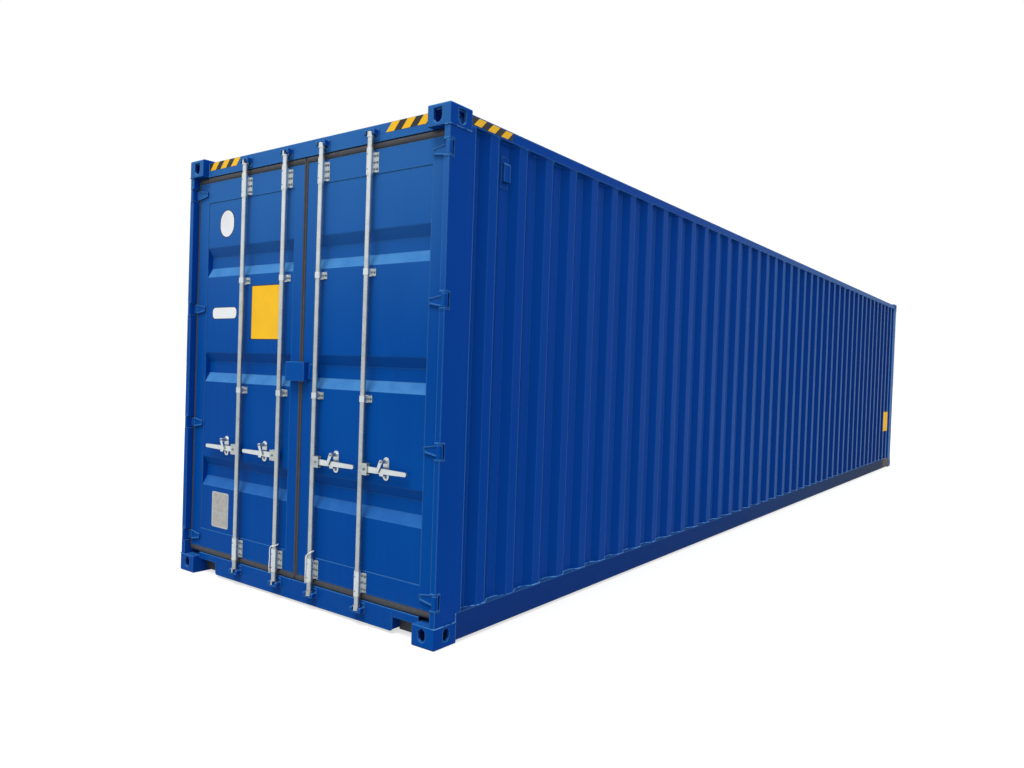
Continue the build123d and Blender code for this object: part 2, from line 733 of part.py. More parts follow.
# Hinge leaves: a tapered blade on the stile, an arm, and a knuckle with its pin
heel = math.radians(hinge_heel_angle)
with BuildPart() as hinge:
    with BuildSketch(Plane.XY.offset(-blade_root_half)):
        with BuildLine():
            Polyline(
                (hinge_x + knuckle_radius * math.cos(heel), hinge_y - knuckle_radius * math.sin(heel)),
                (door_face, hinge_y + knuckle_radius),
                (door_face, hinge_y + blade_reach),
                (door_face - blade_thickness, hinge_y + blade_reach),
                (door_face - blade_thickness, hinge_y + knuckle_radius),
                (hinge_x, hinge_y + knuckle_radius),
                (hinge_x, hinge_y),
                close=True,
            )
        make_face()
    extrude(amount=2 * blade_root_half)
    with BuildSketch(end_x_plane):
        with BuildLine():
            Polyline(
                (hinge_y - knuckle_radius, blade_root_half),
                (leaf_outer, blade_root_half),
                (hinge_y + blade_reach, blade_tip_half),
                (hinge_y + blade_reach, -blade_tip_half),
                (leaf_outer, -blade_root_half),
                (hinge_y - knuckle_radius, -blade_root_half),
                close=True,
            )
        make_face()
    extrude(amount=2 * door_recess, mode=Mode.INTERSECT)
    with BuildSketch(Plane(origin=(door_face - blade_thickness, 0, 0), x_dir=(0, 1, 0), z_dir=(1, 0, 0))):
        with BuildLine():
            Polyline(
                (leaf_outer + blade_rim, blade_root_half - blade_rim),
                (hinge_y + blade_reach - blade_rim, blade_tip_half - blade_rim),
                (hinge_y + blade_reach - blade_rim, blade_rim - blade_tip_half),
                (leaf_outer + blade_rim, blade_rim - blade_root_half),
                close=True,
            )
        make_face()
    extrude(amount=blade_sink, mode=Mode.SUBTRACT)
    with Locations((hinge_x, hinge_y, 0)):
        Cylinder(knuckle_radius, 2 * knuckle_half)
        Cylinder(hinge_pin_radius, 2 * lug_half)

with BuildPart() as right_hinges:
    with Locations(*[(0, 0, hinge_z) for hinge_z in hinge_heights]):
        add(hinge.part)
save(right_hinges, "right_door_hinges")

# Bar bearings and guides: a sleeve on a plate, bolted to the leaf
with BuildPart() as bearing:
    block((door_face - bearing_plate, door_face), (-bearing_plate_width / 2, bearing_plate_width / 2),
          (-bearing_plate_height / 2, bearing_plate_height / 2))
    block((bar_x, door_face - bearing_plate), (-sleeve_radius, sleeve_radius),
          (-bearing_plate_height / 2, bearing_plate_height / 2))
    with Locations((bar_x, 0, 0)):
        Cylinder(sleeve_radius, bearing_height)
        Cylinder(sleeve_bore, bearing_height, mode=Mode.SUBTRACT)

with BuildPart() as guide:
    block((panel_face - bearing_plate, panel_face), (-bearing_plate_width / 2, bearing_plate_width / 2),
          (-guide_plate_height / 2, guide_plate_height / 2))
    block((bar_x, panel_face - bearing_plate), (-sleeve_radius, sleeve_radius),
          (-guide_height / 2, guide_height / 2))
    with Locations((bar_x, 0, 0)):
        Cylinder(sleeve_radius, guide_height)
        Cylinder(sleeve_bore, guide_height, mode=Mode.SUBTRACT)

# Retainers: a plate with a shelf under the handle and a boss for the catch above it
handle_run = handle_length - handle_tip_radius - hub_offset
taper = (handle_root_radius - handle_tip_radius) / handle_run
half_at_retainer = handle_root_radius - taper * (retainer_offset - hub_offset)
shelf_top = handle_z - half_at_retainer - shelf_seat_gap
catch_back = bar_x - handle_thickness / 2 - catch_clearance
catch_z = retainer_top - retainer_width / 2
catch_front = catch_back - catch_thickness
with BuildPart() as retainer:
    with BuildSketch(Plane(origin=(panel_face, 0, 0), x_dir=(0, 1, 0), z_dir=(-1, 0, 0))):
        with Locations((0, -(retainer_bottom + retainer_top) / 2)):
            SlotOverall(retainer_top - retainer_bottom, retainer_width, rotation=90)
    extrude(amount=retainer_plate)
    block((bar_x - handle_thickness / 2, panel_face - retainer_plate),
          (-shelf_width / 2, shelf_width / 2), (shelf_top - shelf_thickness, shelf_top))
    boss_start = catch_back + catch_pin_clearance
    with Locations(Location((boss_start, 0, catch_z), (0, 90, 0))):
        Cylinder(catch_root_radius, panel_face - retainer_plate - boss_start,
                 align=(Align.CENTER, Align.CENTER, Align.MIN))
    with Locations(Location((catch_front - catch_pin_head, 0, catch_z), (0, 90, 0))):
        Cylinder(catch_pin_radius, bar_x - catch_front, align=(Align.CENTER, Align.CENTER, Align.MIN))

right_bars = (-inner_bar_y, -outer_bar_y)
with BuildPart() as right_brackets:
    with Locations(*[(0, bar_y, z) for bar_y in right_bars for z in (upper_bearing_z, lower_bearing_z)]):
        add(bearing.part)
    with Locations(*[(0, bar_y, z) for bar_y in right_bars for z in guide_heights]):
        add(guide.part)
    with Locations(*[(0, bar_y - retainer_offset, 0) for bar_y in right_bars]):
        add(retainer.part)
save(right_brackets, "right_door_brackets")

# The left leaf's pieces mirror those of the right leaf
left_pieces = {
    "left_door_frame": right_frame,
    "left_door_panel": right_panel,
    "left_door_seal": right_seal,
    "left_door_hinges": right_hinges,
    "left_door_brackets": right_brackets,
}
for name, right_piece in left_pieces.items():
    with BuildPart() as left_piece:
        mirror(right_piece.part, about=Plane.XZ)
    save(left_piece, name)

# Lock box: a hood on the right leaf that reaches over a lug on the left leaf
lock_back = door_face - lock_gap
lock_front = rear + lock_box_inset
with BuildPart() as lock_box:
    block((lock_front, lock_back), (lock_box_right, lock_box_left), (lock_box_bottom, lock_box_top))
    block((lock_front + lock_box_wall, lock_back),
          (lock_box_right + lock_box_wall, lock_box_left - lock_box_wall),
          (lock_box_bottom, lock_box_top - lock_box_wall), Mode.SUBTRACT)
    block((lock_back, door_face), (lock_flange_end, lock_flange_start),
          (lock_box_bottom + lock_flange_margin, lock_box_top - lock_flange_margin))
save(lock_box, "lock_box")

with BuildPart() as lock_lug:
    block((door_face - lock_gap, door_face),
          (lug_centre_y - lug_plate_width / 2, lug_centre_y + lug_plate_width / 2),
          (lock_z - lug_plate_height / 2, lock_z + lug_plate_height / 2))
    block((door_face - lock_gap - lug_reach, door_face - lock_gap),
          (lug_centre_y - lug_blade / 2, lug_centre_y + lug_blade / 2),
          (lock_z - lug_plate_height / 2, lock_z + lug_plate_height / 2))
    with Locations(Location((door_face - lock_gap - lug_reach / 2, lug_centre_y, lock_z), (90, 0, 0))):
        Cylinder(lug_hole_radius, lug_plate_width, mode=Mode.SUBTRACT)
save(lock_lug, "left_lock_lug")

# Locking bars: a bar with a hub for its handle, collars at its bearings and a cam at each end
upper_cam_bottom = upper_keeper_z - cam_top
lower_cam_top = lower_keeper_z + cam_top
mouth_sides = [math.radians(bar_unlock_angle + turn * cam_mouth / 2) for turn in (-1, 1)]
mouth_reach = 2 * cam_radius / math.cos(math.radians(cam_mouth / 2))
hub_half = handle_thickness / 2 + hub_slot_gap + hub_cheek
handle_plane = Plane(origin=(bar_x - handle_thickness / 2, 0, 0), x_dir=(0, 1, 0), z_dir=(1, 0, 0))
for name, bar_y in (("inner", -inner_bar_y), ("outer", -outer_bar_y)):
    hub_y = bar_y - hub_offset
    with BuildPart() as bar:
        with Locations((bar_x, bar_y, lower_cam_top)):
            Cylinder(bar_radius, upper_cam_bottom - lower_cam_top,
                     align=(Align.CENTER, Align.CENTER, Align.MIN))
            Cylinder(cam_flange_radius, cam_flange, align=(Align.CENTER, Align.CENTER, Align.MIN))
        with Locations((bar_x, bar_y, upper_cam_bottom)):
            Cylinder(cam_flange_radius, cam_flange, align=(Align.CENTER, Align.CENTER, Align.MAX))
        for cam_z in (upper_cam_bottom, lower_cam_top - cam_height):
            with BuildSketch(Plane.XY.offset(cam_z)):
                with Locations((bar_x, bar_y)):
                    Circle(cam_radius)
                    Circle(cam_bore, mode=Mode.SUBTRACT)
                with BuildLine():
                    Polyline(
                        (bar_x, bar_y),
                        *[(bar_x + mouth_reach * math.cos(angle), bar_y + mouth_reach * math.sin(angle))
                          for angle in mouth_sides],
                        close=True,
                    )
                make_face(mode=Mode.SUBTRACT)
            extrude(amount=cam_height)
        collar_rise = (bearing_height + collar_height) / 2 + collar_gap
        for bearing_z in (lower_bearing_z, upper_bearing_z):
            with Locations((bar_x, bar_y, bearing_z - collar_rise), (bar_x, bar_y, bearing_z + collar_rise)):
                Cylinder(collar_radius, collar_height)
        with BuildSketch(Plane(origin=(bar_x - hub_half, 0, 0), x_dir=(0, 1, 0), z_dir=(1, 0, 0))):
            with Locations((bar_y, handle_z)):
                Rectangle(hub_offset + hub_edge, hub_height, align=(Align.MAX, Align.CENTER))
        extrude(amount=2 * hub_half)
        slot_half = handle_thickness / 2 + hub_slot_gap
        block((bar_x - slot_half, bar_x + slot_half), (hub_y - hub_edge, bar_y - bar_radius),
              (handle_z - hub_height / 2, handle_z + hub_height / 2), Mode.SUBTRACT)
        with Locations(Location((bar_x, hub_y, handle_z), (0, 90, 0))):
            Cylinder(hub_pin_radius, 2 * hub_half)
    save(bar, "right_" + name + "_bar")

    with BuildPart() as handle:
        with BuildSketch(handle_plane):
            with Locations((hub_y, handle_z)):
                Circle(handle_root_radius)
            with Locations((hub_y - handle_run, handle_z)):
                Circle(handle_tip_radius)
            make_hull()
            with Locations((hub_y, handle_z)):
                Circle(hub_pin_radius + hub_pin_clearance, mode=Mode.SUBTRACT)
        extrude(amount=handle_thickness)
    save(handle, "right_" + name + "_handle")

    catch_y = bar_y - retainer_offset
    with BuildPart() as catch:
        with BuildSketch(Plane(origin=(catch_front, 0, 0), x_dir=(0, 1, 0), z_dir=(1, 0, 0))):
            with Locations((catch_y, catch_z)):
                Circle(catch_root_radius)
            with Locations((catch_y + catch_lean, catch_z - catch_drop)):
                Circle(catch_tip_radius)
            make_hull()
            with Locations((catch_y, catch_z)):
                Circle(catch_pin_radius + catch_pin_clearance, mode=Mode.SUBTRACT)
        extrude(amount=catch_thickness)
    save(catch, "right_" + name + "_catch")

    for piece_name, piece in (("bar", bar), ("handle", handle), ("catch", catch)):
        with BuildPart() as left_piece:
            mirror(piece.part, about=Plane.XZ)
        save(left_piece, "left_" + name + "_" + piece_name)

# Tie ropes: laid once round each inner bar above its lower bearing, with both ends hanging down.
# Each point is across, in depth and in height from the bar's axis at the top of the collar.
rope_wrap = bar_radius + rope_radius + rope_bar_gap
rope_seat = lower_bearing_z + bearing_height / 2 + collar_gap + collar_height
right_route = (
    (20, -16, -160),
    (23, -15, -113),
    (20, -17, -66),
    (21, -17, -22),
    (rope_wrap, -rope_wrap, 6),
    (-rope_wrap, -rope_wrap, 32),
    (-rope_wrap, rope_wrap, 38),
    (rope_wrap, rope_wrap, 34),
    (27, -3, 6),
    (30, -8, -26),
    (28, -9, -72),
    (31, -8, -119),
    (29, -9, -152),
)
left_route = (
    (34, -10, -165),
    (36, -14, -118),
    (33, -11, -71),
    (30, -15, -27),
    (rope_wrap, -rope_wrap, 10),
    (-rope_wrap, -rope_wrap, 15),
    (-rope_wrap, rope_wrap, 20),
    (rope_wrap, rope_wrap, 25),
    (31, 9, -19),
    (35, 6, -65),
    (32, 3, -113),
    (34, 6, -153),
)
rope_bars = {"right_tie_rope": (-inner_bar_y, right_route), "left_tie_rope": (inner_bar_y, left_route)}
for name, (bar_y, rope_route) in rope_bars.items():
    rope_points = [(bar_x + depth, bar_y + across, rope_seat + rise) for across, depth, rise in rope_route]
    radii = cord_radii(rope_points)
    with BuildPart() as rope:
        with BuildLine() as rope_path:
            FilletPolyline(*rope_points, radius=radii)
        with BuildSketch(Plane(origin=rope_path.line @ 0, z_dir=rope_path.line % 0)):
            Circle(rope_radius)
        sweep()
    save(rope, name)
    rope_length = rope_path.wire().length
    print(name, "length", round(rope_length), "radii", [round(radius) for radius in radii],
          "volume ratio", rope.part.volume / (math.pi * rope_radius**2 * rope_length))
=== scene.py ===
import math

import bmesh
import bpy
from bpy.props import FloatProperty, FloatVectorProperty, IntProperty, PointerProperty
from mathutils import Matrix, Vector


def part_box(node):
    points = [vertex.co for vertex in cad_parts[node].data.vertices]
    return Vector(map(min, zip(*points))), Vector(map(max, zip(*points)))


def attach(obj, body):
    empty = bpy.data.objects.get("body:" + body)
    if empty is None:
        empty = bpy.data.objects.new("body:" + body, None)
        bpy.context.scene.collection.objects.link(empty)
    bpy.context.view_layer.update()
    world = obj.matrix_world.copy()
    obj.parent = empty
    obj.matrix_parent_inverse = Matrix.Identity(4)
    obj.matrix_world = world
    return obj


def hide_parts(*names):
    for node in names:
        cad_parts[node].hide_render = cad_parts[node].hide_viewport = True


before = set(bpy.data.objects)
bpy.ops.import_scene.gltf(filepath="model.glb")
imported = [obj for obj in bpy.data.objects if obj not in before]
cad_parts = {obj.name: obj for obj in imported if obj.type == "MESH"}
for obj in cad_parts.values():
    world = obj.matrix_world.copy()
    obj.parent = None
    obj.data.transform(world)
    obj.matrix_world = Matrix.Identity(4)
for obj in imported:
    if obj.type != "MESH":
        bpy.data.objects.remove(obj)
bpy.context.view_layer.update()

bl_info = {
    "name": "Freight Container Dressing",
    "version": (1, 0, 0),
    "blender": (4, 5, 0),
    "location": "View3D > Sidebar > Container",
    "description": "Gives the packed freight container its finishes, small fittings and studio",
    "category": "Object",
}

SHELL = "container_body"

# Which way each side lies on Y, as seen by someone who faces the doors
SIDES = {"right": -1, "left": 1}
REARWARD = Vector((-1, 0, 0))

# Locking bars: how far each stands from the middle of the doors, and the place of their axes on X
BARS = {"inner": 0.174, "outer": 0.597}
BAR_X = -6.073

# Stretches along X over which a finish changes
DOOR_END = (-6.0, -5.8)
# Over the next three grow the painted sheen on the side walls' flats, the painted shade on their slopes and the painted
# shade on the bottom rails
SHEEN_RUN = (-5.5, 5.0)
SHADE_RUN = (-4.0, 6.5)
RAIL_SHADE_RUN = (-6.0, 6.5)
STAIN_RUN = (5.3, 5.7)

# Stretches along Y: from the stained right side to the left one, and the outermost folds of either wall
STAIN_SIDE = (-0.5, 0.5)
WALL_CREST = (1.185, 1.200)

# Stretches along Z
DUST_RISE = (0.0, 0.4)
# LEDGE_RISE and DOOR_RISE: where the painted highlights on ledges and high on the doors grow
LEDGE_RISE = (0.8, 1.3)
ZINC_RISE = (1.3, 2.7)
DOOR_RISE = (1.45, 2.95)

# Turns a card from lying flat to facing the doors' way
CARD_TURN = Matrix.Rotation(math.radians(-90), 4, "Y") @ Matrix.Rotation(math.radians(90), 4, "Z")


def colour(name, description, default):
    """A colour that a user would change."""
    return FloatVectorProperty(name=name, description=description, default=default, subtype="COLOR",
                               size=3, min=0.0, max=1.0)


def size(name, description, default):
    """A length in metres that a user would change."""
    return FloatProperty(name=name, description=description, default=default, subtype="DISTANCE", unit="LENGTH")


def share(name, description, default):
    """A plain factor that a user would change."""
    return FloatProperty(name=name, description=description, default=default, min=0.0)


class ContainerPaints(bpy.types.PropertyGroup):
    """Colours of the container's finishes."""
    blue: colour("Blue", "Satin paint of the shell and doors", (0.0010, 0.067, 0.315))
    blue_deep: colour("Deep blue", "Darker patches in the blue paint", (0.0008, 0.055, 0.280))
    # Painted shade: a deeper, bluer copy of the blue for faces that turn sideways, away from the lamp
    side_shade: colour("Sheltered blue", "Unfaded paint on the long sides", (0.0003, 0.051, 0.330))
    # Painted highlight: the pale blue of the weld beads
    bead_highlight: colour("Scuffed blue", "Chalky paint on weld beads", (0.080, 0.26, 0.55))
    # Painted highlight: the pale blue of lit ledges, rounded edges, the wall crests' front bends and the upper doors
    highlight_blue: colour("Bleached blue", "Faded paint on ledges, edges and high on the doors", (0.070, 0.245, 0.52))
    # Painted sheen: the grazing reflection on the flats of the side walls
    wall_sheen: colour("Chalky blue", "Paint on the flats of the side walls towards the front", (0.012, 0.115, 0.335))
    # Painted shade on the slopes of the side walls' folds
    folds: colour("Folds", "Shaded paint on the slopes of the side walls", (0.0004, 0.014, 0.110))
    stain: colour("Stain", "Brown stain at the front of the right bottom rail", (0.22, 0.15, 0.085))
    # Painted shade: the dark blue-grey laid over the bottom rails
    rail_shade: colour("Grime", "Road spray on the bottom rails", (0.020, 0.025, 0.046))
    dust: colour("Dust", "Road dust low on the shell", (0.20, 0.19, 0.18))
    zinc: colour("Zinc", "Bright zinc, high up and on the brackets", (0.68, 0.72, 0.72))
    zinc_dark: colour("Dull zinc", "Darker crystals, and zinc lower down", (0.31, 0.345, 0.345))
    # Painted shade: the dark grey laid on bolt heads and rivets
    bolt_shade: colour("Grimy zinc", "Dirt on bolt heads and rivets", (0.13, 0.14, 0.14))
    rubber: colour("Rubber", "Door seals", (0.028, 0.029, 0.036))
    bloom: colour("Rubber bloom", "Grey bloom on the door seals", (0.070, 0.072, 0.082))
    wood: colour("Plywood", "Floor boards", (0.36, 0.19, 0.085))
    wood_dark: colour("Plywood grain", "Dark lines in the floor boards", (0.17, 0.08, 0.035))
    wood_joint: colour("Plywood joint", "Gaps between the floor boards", (0.05, 0.03, 0.02))
    base: colour("Base coat", "Waxy coat under the floor", (0.012, 0.016, 0.026))
    rope: colour("Rope", "Tie ropes on the inner bars", (0.92, 0.92, 0.90))
    rope_dirt: colour("Rope dirt", "Grey dirt in the ropes", (0.42, 0.42, 0.40))
    yellow: colour("Hazard yellow", "Stripes and the plain panels", (0.94, 0.52, 0.008))
    dark: colour("Hazard ground", "Dark ground between the stripes", (0.030, 0.030, 0.034))
    label: colour("Label white", "Plain vinyl labels", (0.80, 0.81, 0.82))
    plate: colour("Plate metal", "Bare data plate", (0.40, 0.385, 0.36))
    plate_dark: colour("Plate stain", "Darker patches on the data plate", (0.31, 0.30, 0.285))


class ContainerMarks(bpy.types.PropertyGroup):
    """Sizes of the stripes and labels."""
    stripe_width: size("Stripe width", "Width of one yellow stripe", 0.064)
    stripe_pitch: size("Stripe pitch", "From one yellow stripe to the next", 0.1215)
    stripe_lean: size("Stripe lean", "How far a stripe leans over its height", 0.046)
    stripe_count: IntProperty(name="Stripe count", description="Yellow stripes in one band", default=3, min=1)
    header_band: size("Header band", "Height of the bands on the door header", 0.052)
    rail_band: size("Rail band", "Height of the bands on the top rails", 0.044)
    vinyl: size("Vinyl thickness", "Thickness of stripes and labels", 0.0006)


class ContainerFittings(bpy.types.PropertyGroup):
    """Sizes of bolts, rivets, beads, lips and ropes."""
    bolt_radius: size("Bolt radius", "Across half the corners of a bolt head", 0.0066)
    bolt_height: size("Bolt height", "Height of a bolt head", 0.006)
    rivet_radius: size("Rivet radius", "Radius of a domed rivet", 0.009)
    rivet_height: size("Rivet height", "Rise of a domed rivet", 0.005)
    bead_radius: size("Weld bead", "Radius of the beads along the walls", 0.005)
    fine_bead: size("Fine bead", "Radius of the beads on posts, rails and castings", 0.003)
    lip_radius: size("Centre lip", "Half the width of the lip along the middle of the doors", 0.0085)
    lip_rise: size("Lip rise", "How far the seal's lips stand out", 0.007)
    rope_diameter: size("Rope diameter", "Diameter of a tie rope", 0.006)
    right_rope: size("Right rope length", "Length of the right tie rope", 0.465)
    left_rope: size("Left rope length", "Length of the left tie rope", 0.450)
    rope_lay: size("Rope lay", "Length of one turn of the rope's strands", 0.022)


class ContainerStudio(bpy.types.PropertyGroup):
    """Camera, light and floor."""
    camera_place: FloatVectorProperty(name="Camera place", description="Where the camera stands", size=3,
                                      default=(-9.11527, -3.89749, 1.50395), subtype="TRANSLATION", unit="LENGTH")
    camera_turn: FloatVectorProperty(name="Camera turn", description="How the camera is turned", size=3,
                                     default=tuple(math.radians(a) for a in (88.929, -1.942, -53.588)),
                                     subtype="EULER", unit="ROTATION")
    lens: FloatProperty(name="Lens", description="Focal length in millimetres", default=27.008)
    floor: colour("Floor", "Pale studio floor", (0.34, 0.34, 0.34))
    floor_lift: share("Floor lift", "Glow that brings the floor up to the backdrop", 0.66)
    sky: share("Sky", "Strength of the soft light from all round", 0.92)
    sun: share("Sun", "Strength of the main lamp", 2.4)


class Signal:
    """A shader socket that takes part in ordinary arithmetic."""

    def __init__(self, coat, socket):
        self.coat = coat
        self.socket = socket

    def out(self, name):
        """Another output of the same node."""
        return Signal(self.coat, self.socket.node.outputs[name])

    def __add__(self, other):
        return self.coat.math("ADD", self, other)

    __radd__ = __add__

    def __sub__(self, other):
        return self.coat.math("SUBTRACT", self, other)

    def __rsub__(self, other):
        return self.coat.math("SUBTRACT", other, self)

    def __mul__(self, other):
        return self.coat.math("MULTIPLY", self, other)

    __rmul__ = __mul__

    def __truediv__(self, other):
        return self.coat.math("DIVIDE", self, other)

    def __abs__(self):
        return self.coat.math("ABSOLUTE", self)


class Coat:
    """A material or a world while its nodes are wired."""

    def __init__(self, name, blocks=bpy.data.materials):
        self.material = blocks.new(name)
        self.material.use_nodes = True
        self.tree = self.material.node_tree
        self.tree.nodes.clear()
        self.place = self.node("ShaderNodeTexCoord").out("Object")

    def node(self, kind, settings=None, sockets=None, **named):
        """Add one node: its settings first, then the values or links of its sockets, by key or by plain name."""
        made = self.tree.nodes.new(kind)
        for key, value in (settings or {}).items():
            setattr(made, key, value)
        for key, value in {**(sockets or {}), **named}.items():
            socket = made.inputs[key]
            if isinstance(value, Signal):
                self.tree.links.new(value.socket, socket)
            else:
                socket.default_value = value
        return Signal(self, next(o for o in made.outputs if o.enabled) if made.outputs else None)

    def math(self, operation, *values):
        """Arithmetic on single values."""
        return self.node("ShaderNodeMath", {"operation": operation}, dict(enumerate(values)))

    def stretch(self, scale):
        """Object coordinates stretched along the axes."""
        return self.node("ShaderNodeMapping", {"vector_type": "POINT"}, Vector=self.place, Scale=scale)

    def noise(self, scale, detail=2.0, where=None):
        """Soft noise from 0 to 1."""
        return self.node("ShaderNodeTexNoise", Vector=where or self.place, Scale=scale, Detail=detail).out("Fac")

    def ramp(self, value, low, high):
        """A smooth step from 0 at low to 1 at high."""
        return self.node("ShaderNodeMapRange", {"interpolation_type": "SMOOTHSTEP"},
                         {"Value": value, "From Min": low, "From Max": high})

    def blend(self, first, second, factor):
        """One colour into another."""
        return self.node("ShaderNodeMix", {"data_type": "RGBA"}, {0: factor, 6: flat(first), 7: flat(second)})

    def part(self, vector, axis):
        """One component of a vector."""
        return self.node("ShaderNodeSeparateXYZ", Vector=vector).out(axis)

    def axis(self, name):
        """One object coordinate."""
        return self.part(self.place, name)

    def bump(self, height, strength, distance, **sockets):
        """A normal that follows a height."""
        return self.node("ShaderNodeBump", Height=height, Strength=strength, Distance=distance, **sockets)

    def eased(self, radius):
        """The normal of edges that are rounded a little."""
        return self.node("ShaderNodeBevel", {"samples": 4}, Radius=radius)

    def seen(self):
        """1 where the camera, a reflection or glass looks at the surface."""
        path = self.node("ShaderNodeLightPath")
        return path.out("Is Camera Ray") + path.out("Is Glossy Ray") + path.out("Is Transmission Ray")

    def finish(self, **sockets):
        """Close the material with one surface shader."""
        named = {key.replace("_", " "): value for key, value in sockets.items()}
        self.node("ShaderNodeOutputMaterial", Surface=self.node("ShaderNodeBsdfPrincipled", None, named))
        return self.material


def flat(value):
    """A colour property as a socket value; a signal passes through."""
    return value if isinstance(value, Signal) else (*value, 1.0)


def satin_paint(name, paints, shade_and_stain=0.0):
    """Satin paint with faint runs and low dust, with painted highlights on ledges, edges and high on the doors, painted
    sheen and shade on the long sides, and, when asked, painted shade and a brown stain on the bottom rails.
    """
    coat = Coat(name)
    along, up = coat.axis("X"), coat.axis("Z")
    facing = coat.node("ShaderNodeSeparateXYZ", Vector=coat.place.out("Normal"))
    endward, sideward, skyward = facing.out("X"), abs(facing.out("Y")), facing.out("Z")
    broad = coat.noise(0.9, 3.0)
    runs = coat.noise(1.0, 3.0, coat.stretch((22.0, 22.0, 0.7)))
    speck = coat.noise(9.0, 5.0)
    tone = coat.blend(paints.blue_deep, paints.blue, coat.ramp(broad * 0.7 + runs * 0.3, 0.32, 0.68))

    # Long sides: painted light — a deeper, bluer painted shade where they face sideways, a painted sheen on their flats
    # and painted shade on the slopes of their folds, both growing towards the front
    tone = coat.blend(tone, paints.side_shade, coat.ramp(sideward, 0.5, 0.95) * 0.85)
    # Painted sheen on the flats, stronger towards the front
    flats = coat.ramp(sideward, 0.93, 0.98) * coat.ramp(along, *SHEEN_RUN)
    tone = coat.blend(tone, paints.wall_sheen, flats * 0.75)
    # Painted shade on the slopes of the folds, stronger towards the front
    slope = coat.ramp(abs(endward), 0.2, 0.4) * coat.ramp(sideward, 0.6, 0.8)
    tone = coat.blend(tone, paints.folds, slope * (0.22 + coat.ramp(along, *SHADE_RUN) * 0.6))

    # Ledges, more so higher up, and the upper half of the doors' end: a painted highlight where the sky lights them and
    # glints
    ledge = coat.ramp(skyward, 0.25, 0.6) - coat.ramp(skyward, 0.8, 0.95) * 0.6
    patchy = 0.45 + coat.ramp(speck, 0.2, 0.7) * 0.25
    tone = coat.blend(tone, paints.highlight_blue, ledge * patchy * (0.6 + coat.ramp(up, *LEDGE_RISE)))
    doorward = coat.ramp(0.0 - endward, 0.4, 0.8) * (1.0 - coat.ramp(along, *DOOR_END))
    tone = coat.blend(tone, paints.highlight_blue, doorward * coat.ramp(up, *DOOR_RISE) * (0.27 + broad * 0.16))

    # Edges and the front bends of the walls' crests: painted highlights, where rounded bends would catch the light
    soft = coat.eased(0.010)
    normal = coat.node("ShaderNodeNewGeometry").out("Normal")
    sharp = 1.0 - coat.node("ShaderNodeVectorMath", {"operation": "DOT_PRODUCT"}, {0: soft, 1: normal})
    tone = coat.blend(tone, paints.highlight_blue, coat.ramp(sharp, 0.02, 0.22) * 0.85)
    outermost = coat.ramp(abs(coat.axis("Y")), *WALL_CREST)
    crest = outermost * coat.ramp(coat.part(soft, "X"), 0.03, 0.14) * coat.ramp(sharp, 0.002, 0.015)
    tone = coat.blend(tone, paints.highlight_blue, crest * 0.75)

    # Dust low down, and on the bottom rails painted shade, deeper towards the front, with a brown stain
    low = 1.0 - coat.ramp(up, *DUST_RISE)
    tone = coat.blend(tone, paints.dust, low * coat.ramp(speck, 0.3, 0.8) * 0.03)
    # Painted shade on the bottom rails, which also brings the stain and lowers the gloss
    if shade_and_stain:
        tone = coat.blend(tone, paints.rail_shade, shade_and_stain * (0.45 + coat.ramp(along, *RAIL_SHADE_RUN) * 0.55))
        brown = coat.ramp(along, *STAIN_RUN) * (1.0 - coat.ramp(coat.axis("Y"), *STAIN_SIDE))
        tone = coat.blend(tone, paints.stain, brown * (0.35 + coat.ramp(speck, 0.35, 0.6) * 0.4))

    surface = coat.bump(coat.noise(260.0, 2.0) * 0.25 + coat.noise(5.0, 2.0), 0.16, 0.002, Normal=soft)
    return coat.finish(Base_Color=tone, Roughness=0.32 + speck * 0.10, Normal=surface,
                       Specular_IOR_Level=0.02 - 0.02 * shade_and_stain)


def shell_paint(paints):
    """The clean blue of the shell and doors."""
    return satin_paint("shell_paint", paints)


def rail_paint(paints):
    """The blue of the bottom rails, darkened with painted shade, with a brown stain."""
    return satin_paint("rail_paint", paints, 0.85)


def bead_highlight_paint(paints):
    """Pale speckled paint over a weld bead: a painted highlight along the bead."""
    coat = Coat("bead_highlight_paint")
    glint_speckle = coat.noise(35.0, 5.0)
    tone = coat.blend(paints.blue, paints.bead_highlight, coat.ramp(glint_speckle, 0.35, 0.6))
    ripple = coat.noise(1.0, 2.0, coat.stretch((160.0, 160.0, 160.0)))
    return coat.finish(Base_Color=tone, Roughness=0.45 + glint_speckle * 0.2, Normal=coat.bump(ripple, 0.6, 0.002),
                       Specular_IOR_Level=0.2)


def galvanised(name, paints, polish=0.0):
    """Zinc with small crystals, duller lower down; polish makes it brighter and smoother."""
    coat = Coat(name)
    crystals = coat.node("ShaderNodeTexVoronoi", Vector=coat.place, Scale=120.0).out("Color")
    patches = coat.noise(14.0, 4.0)
    spangle = coat.ramp(coat.part(crystals, "X") * 0.3 + patches, 0.25, 0.85)
    bright = spangle * 0.3 + coat.ramp(coat.axis("Z"), *ZINC_RISE) * 0.7 + polish
    normal = coat.bump(coat.noise(320.0, 3.0), 0.05, 0.001, Normal=coat.eased(0.0012))
    return coat.finish(Base_Color=coat.blend(paints.zinc_dark, paints.zinc, bright), Metallic=0.85,
                       Roughness=0.27 - 0.08 * polish + patches * 0.10, Normal=normal)


def zinc_coat(paints):
    """Dull zinc of the bars."""
    return galvanised("zinc_coat", paints)


def handled_zinc(paints):
    """Brighter zinc of the brackets, handles and catches."""
    return galvanised("handled_zinc", paints, 0.45)


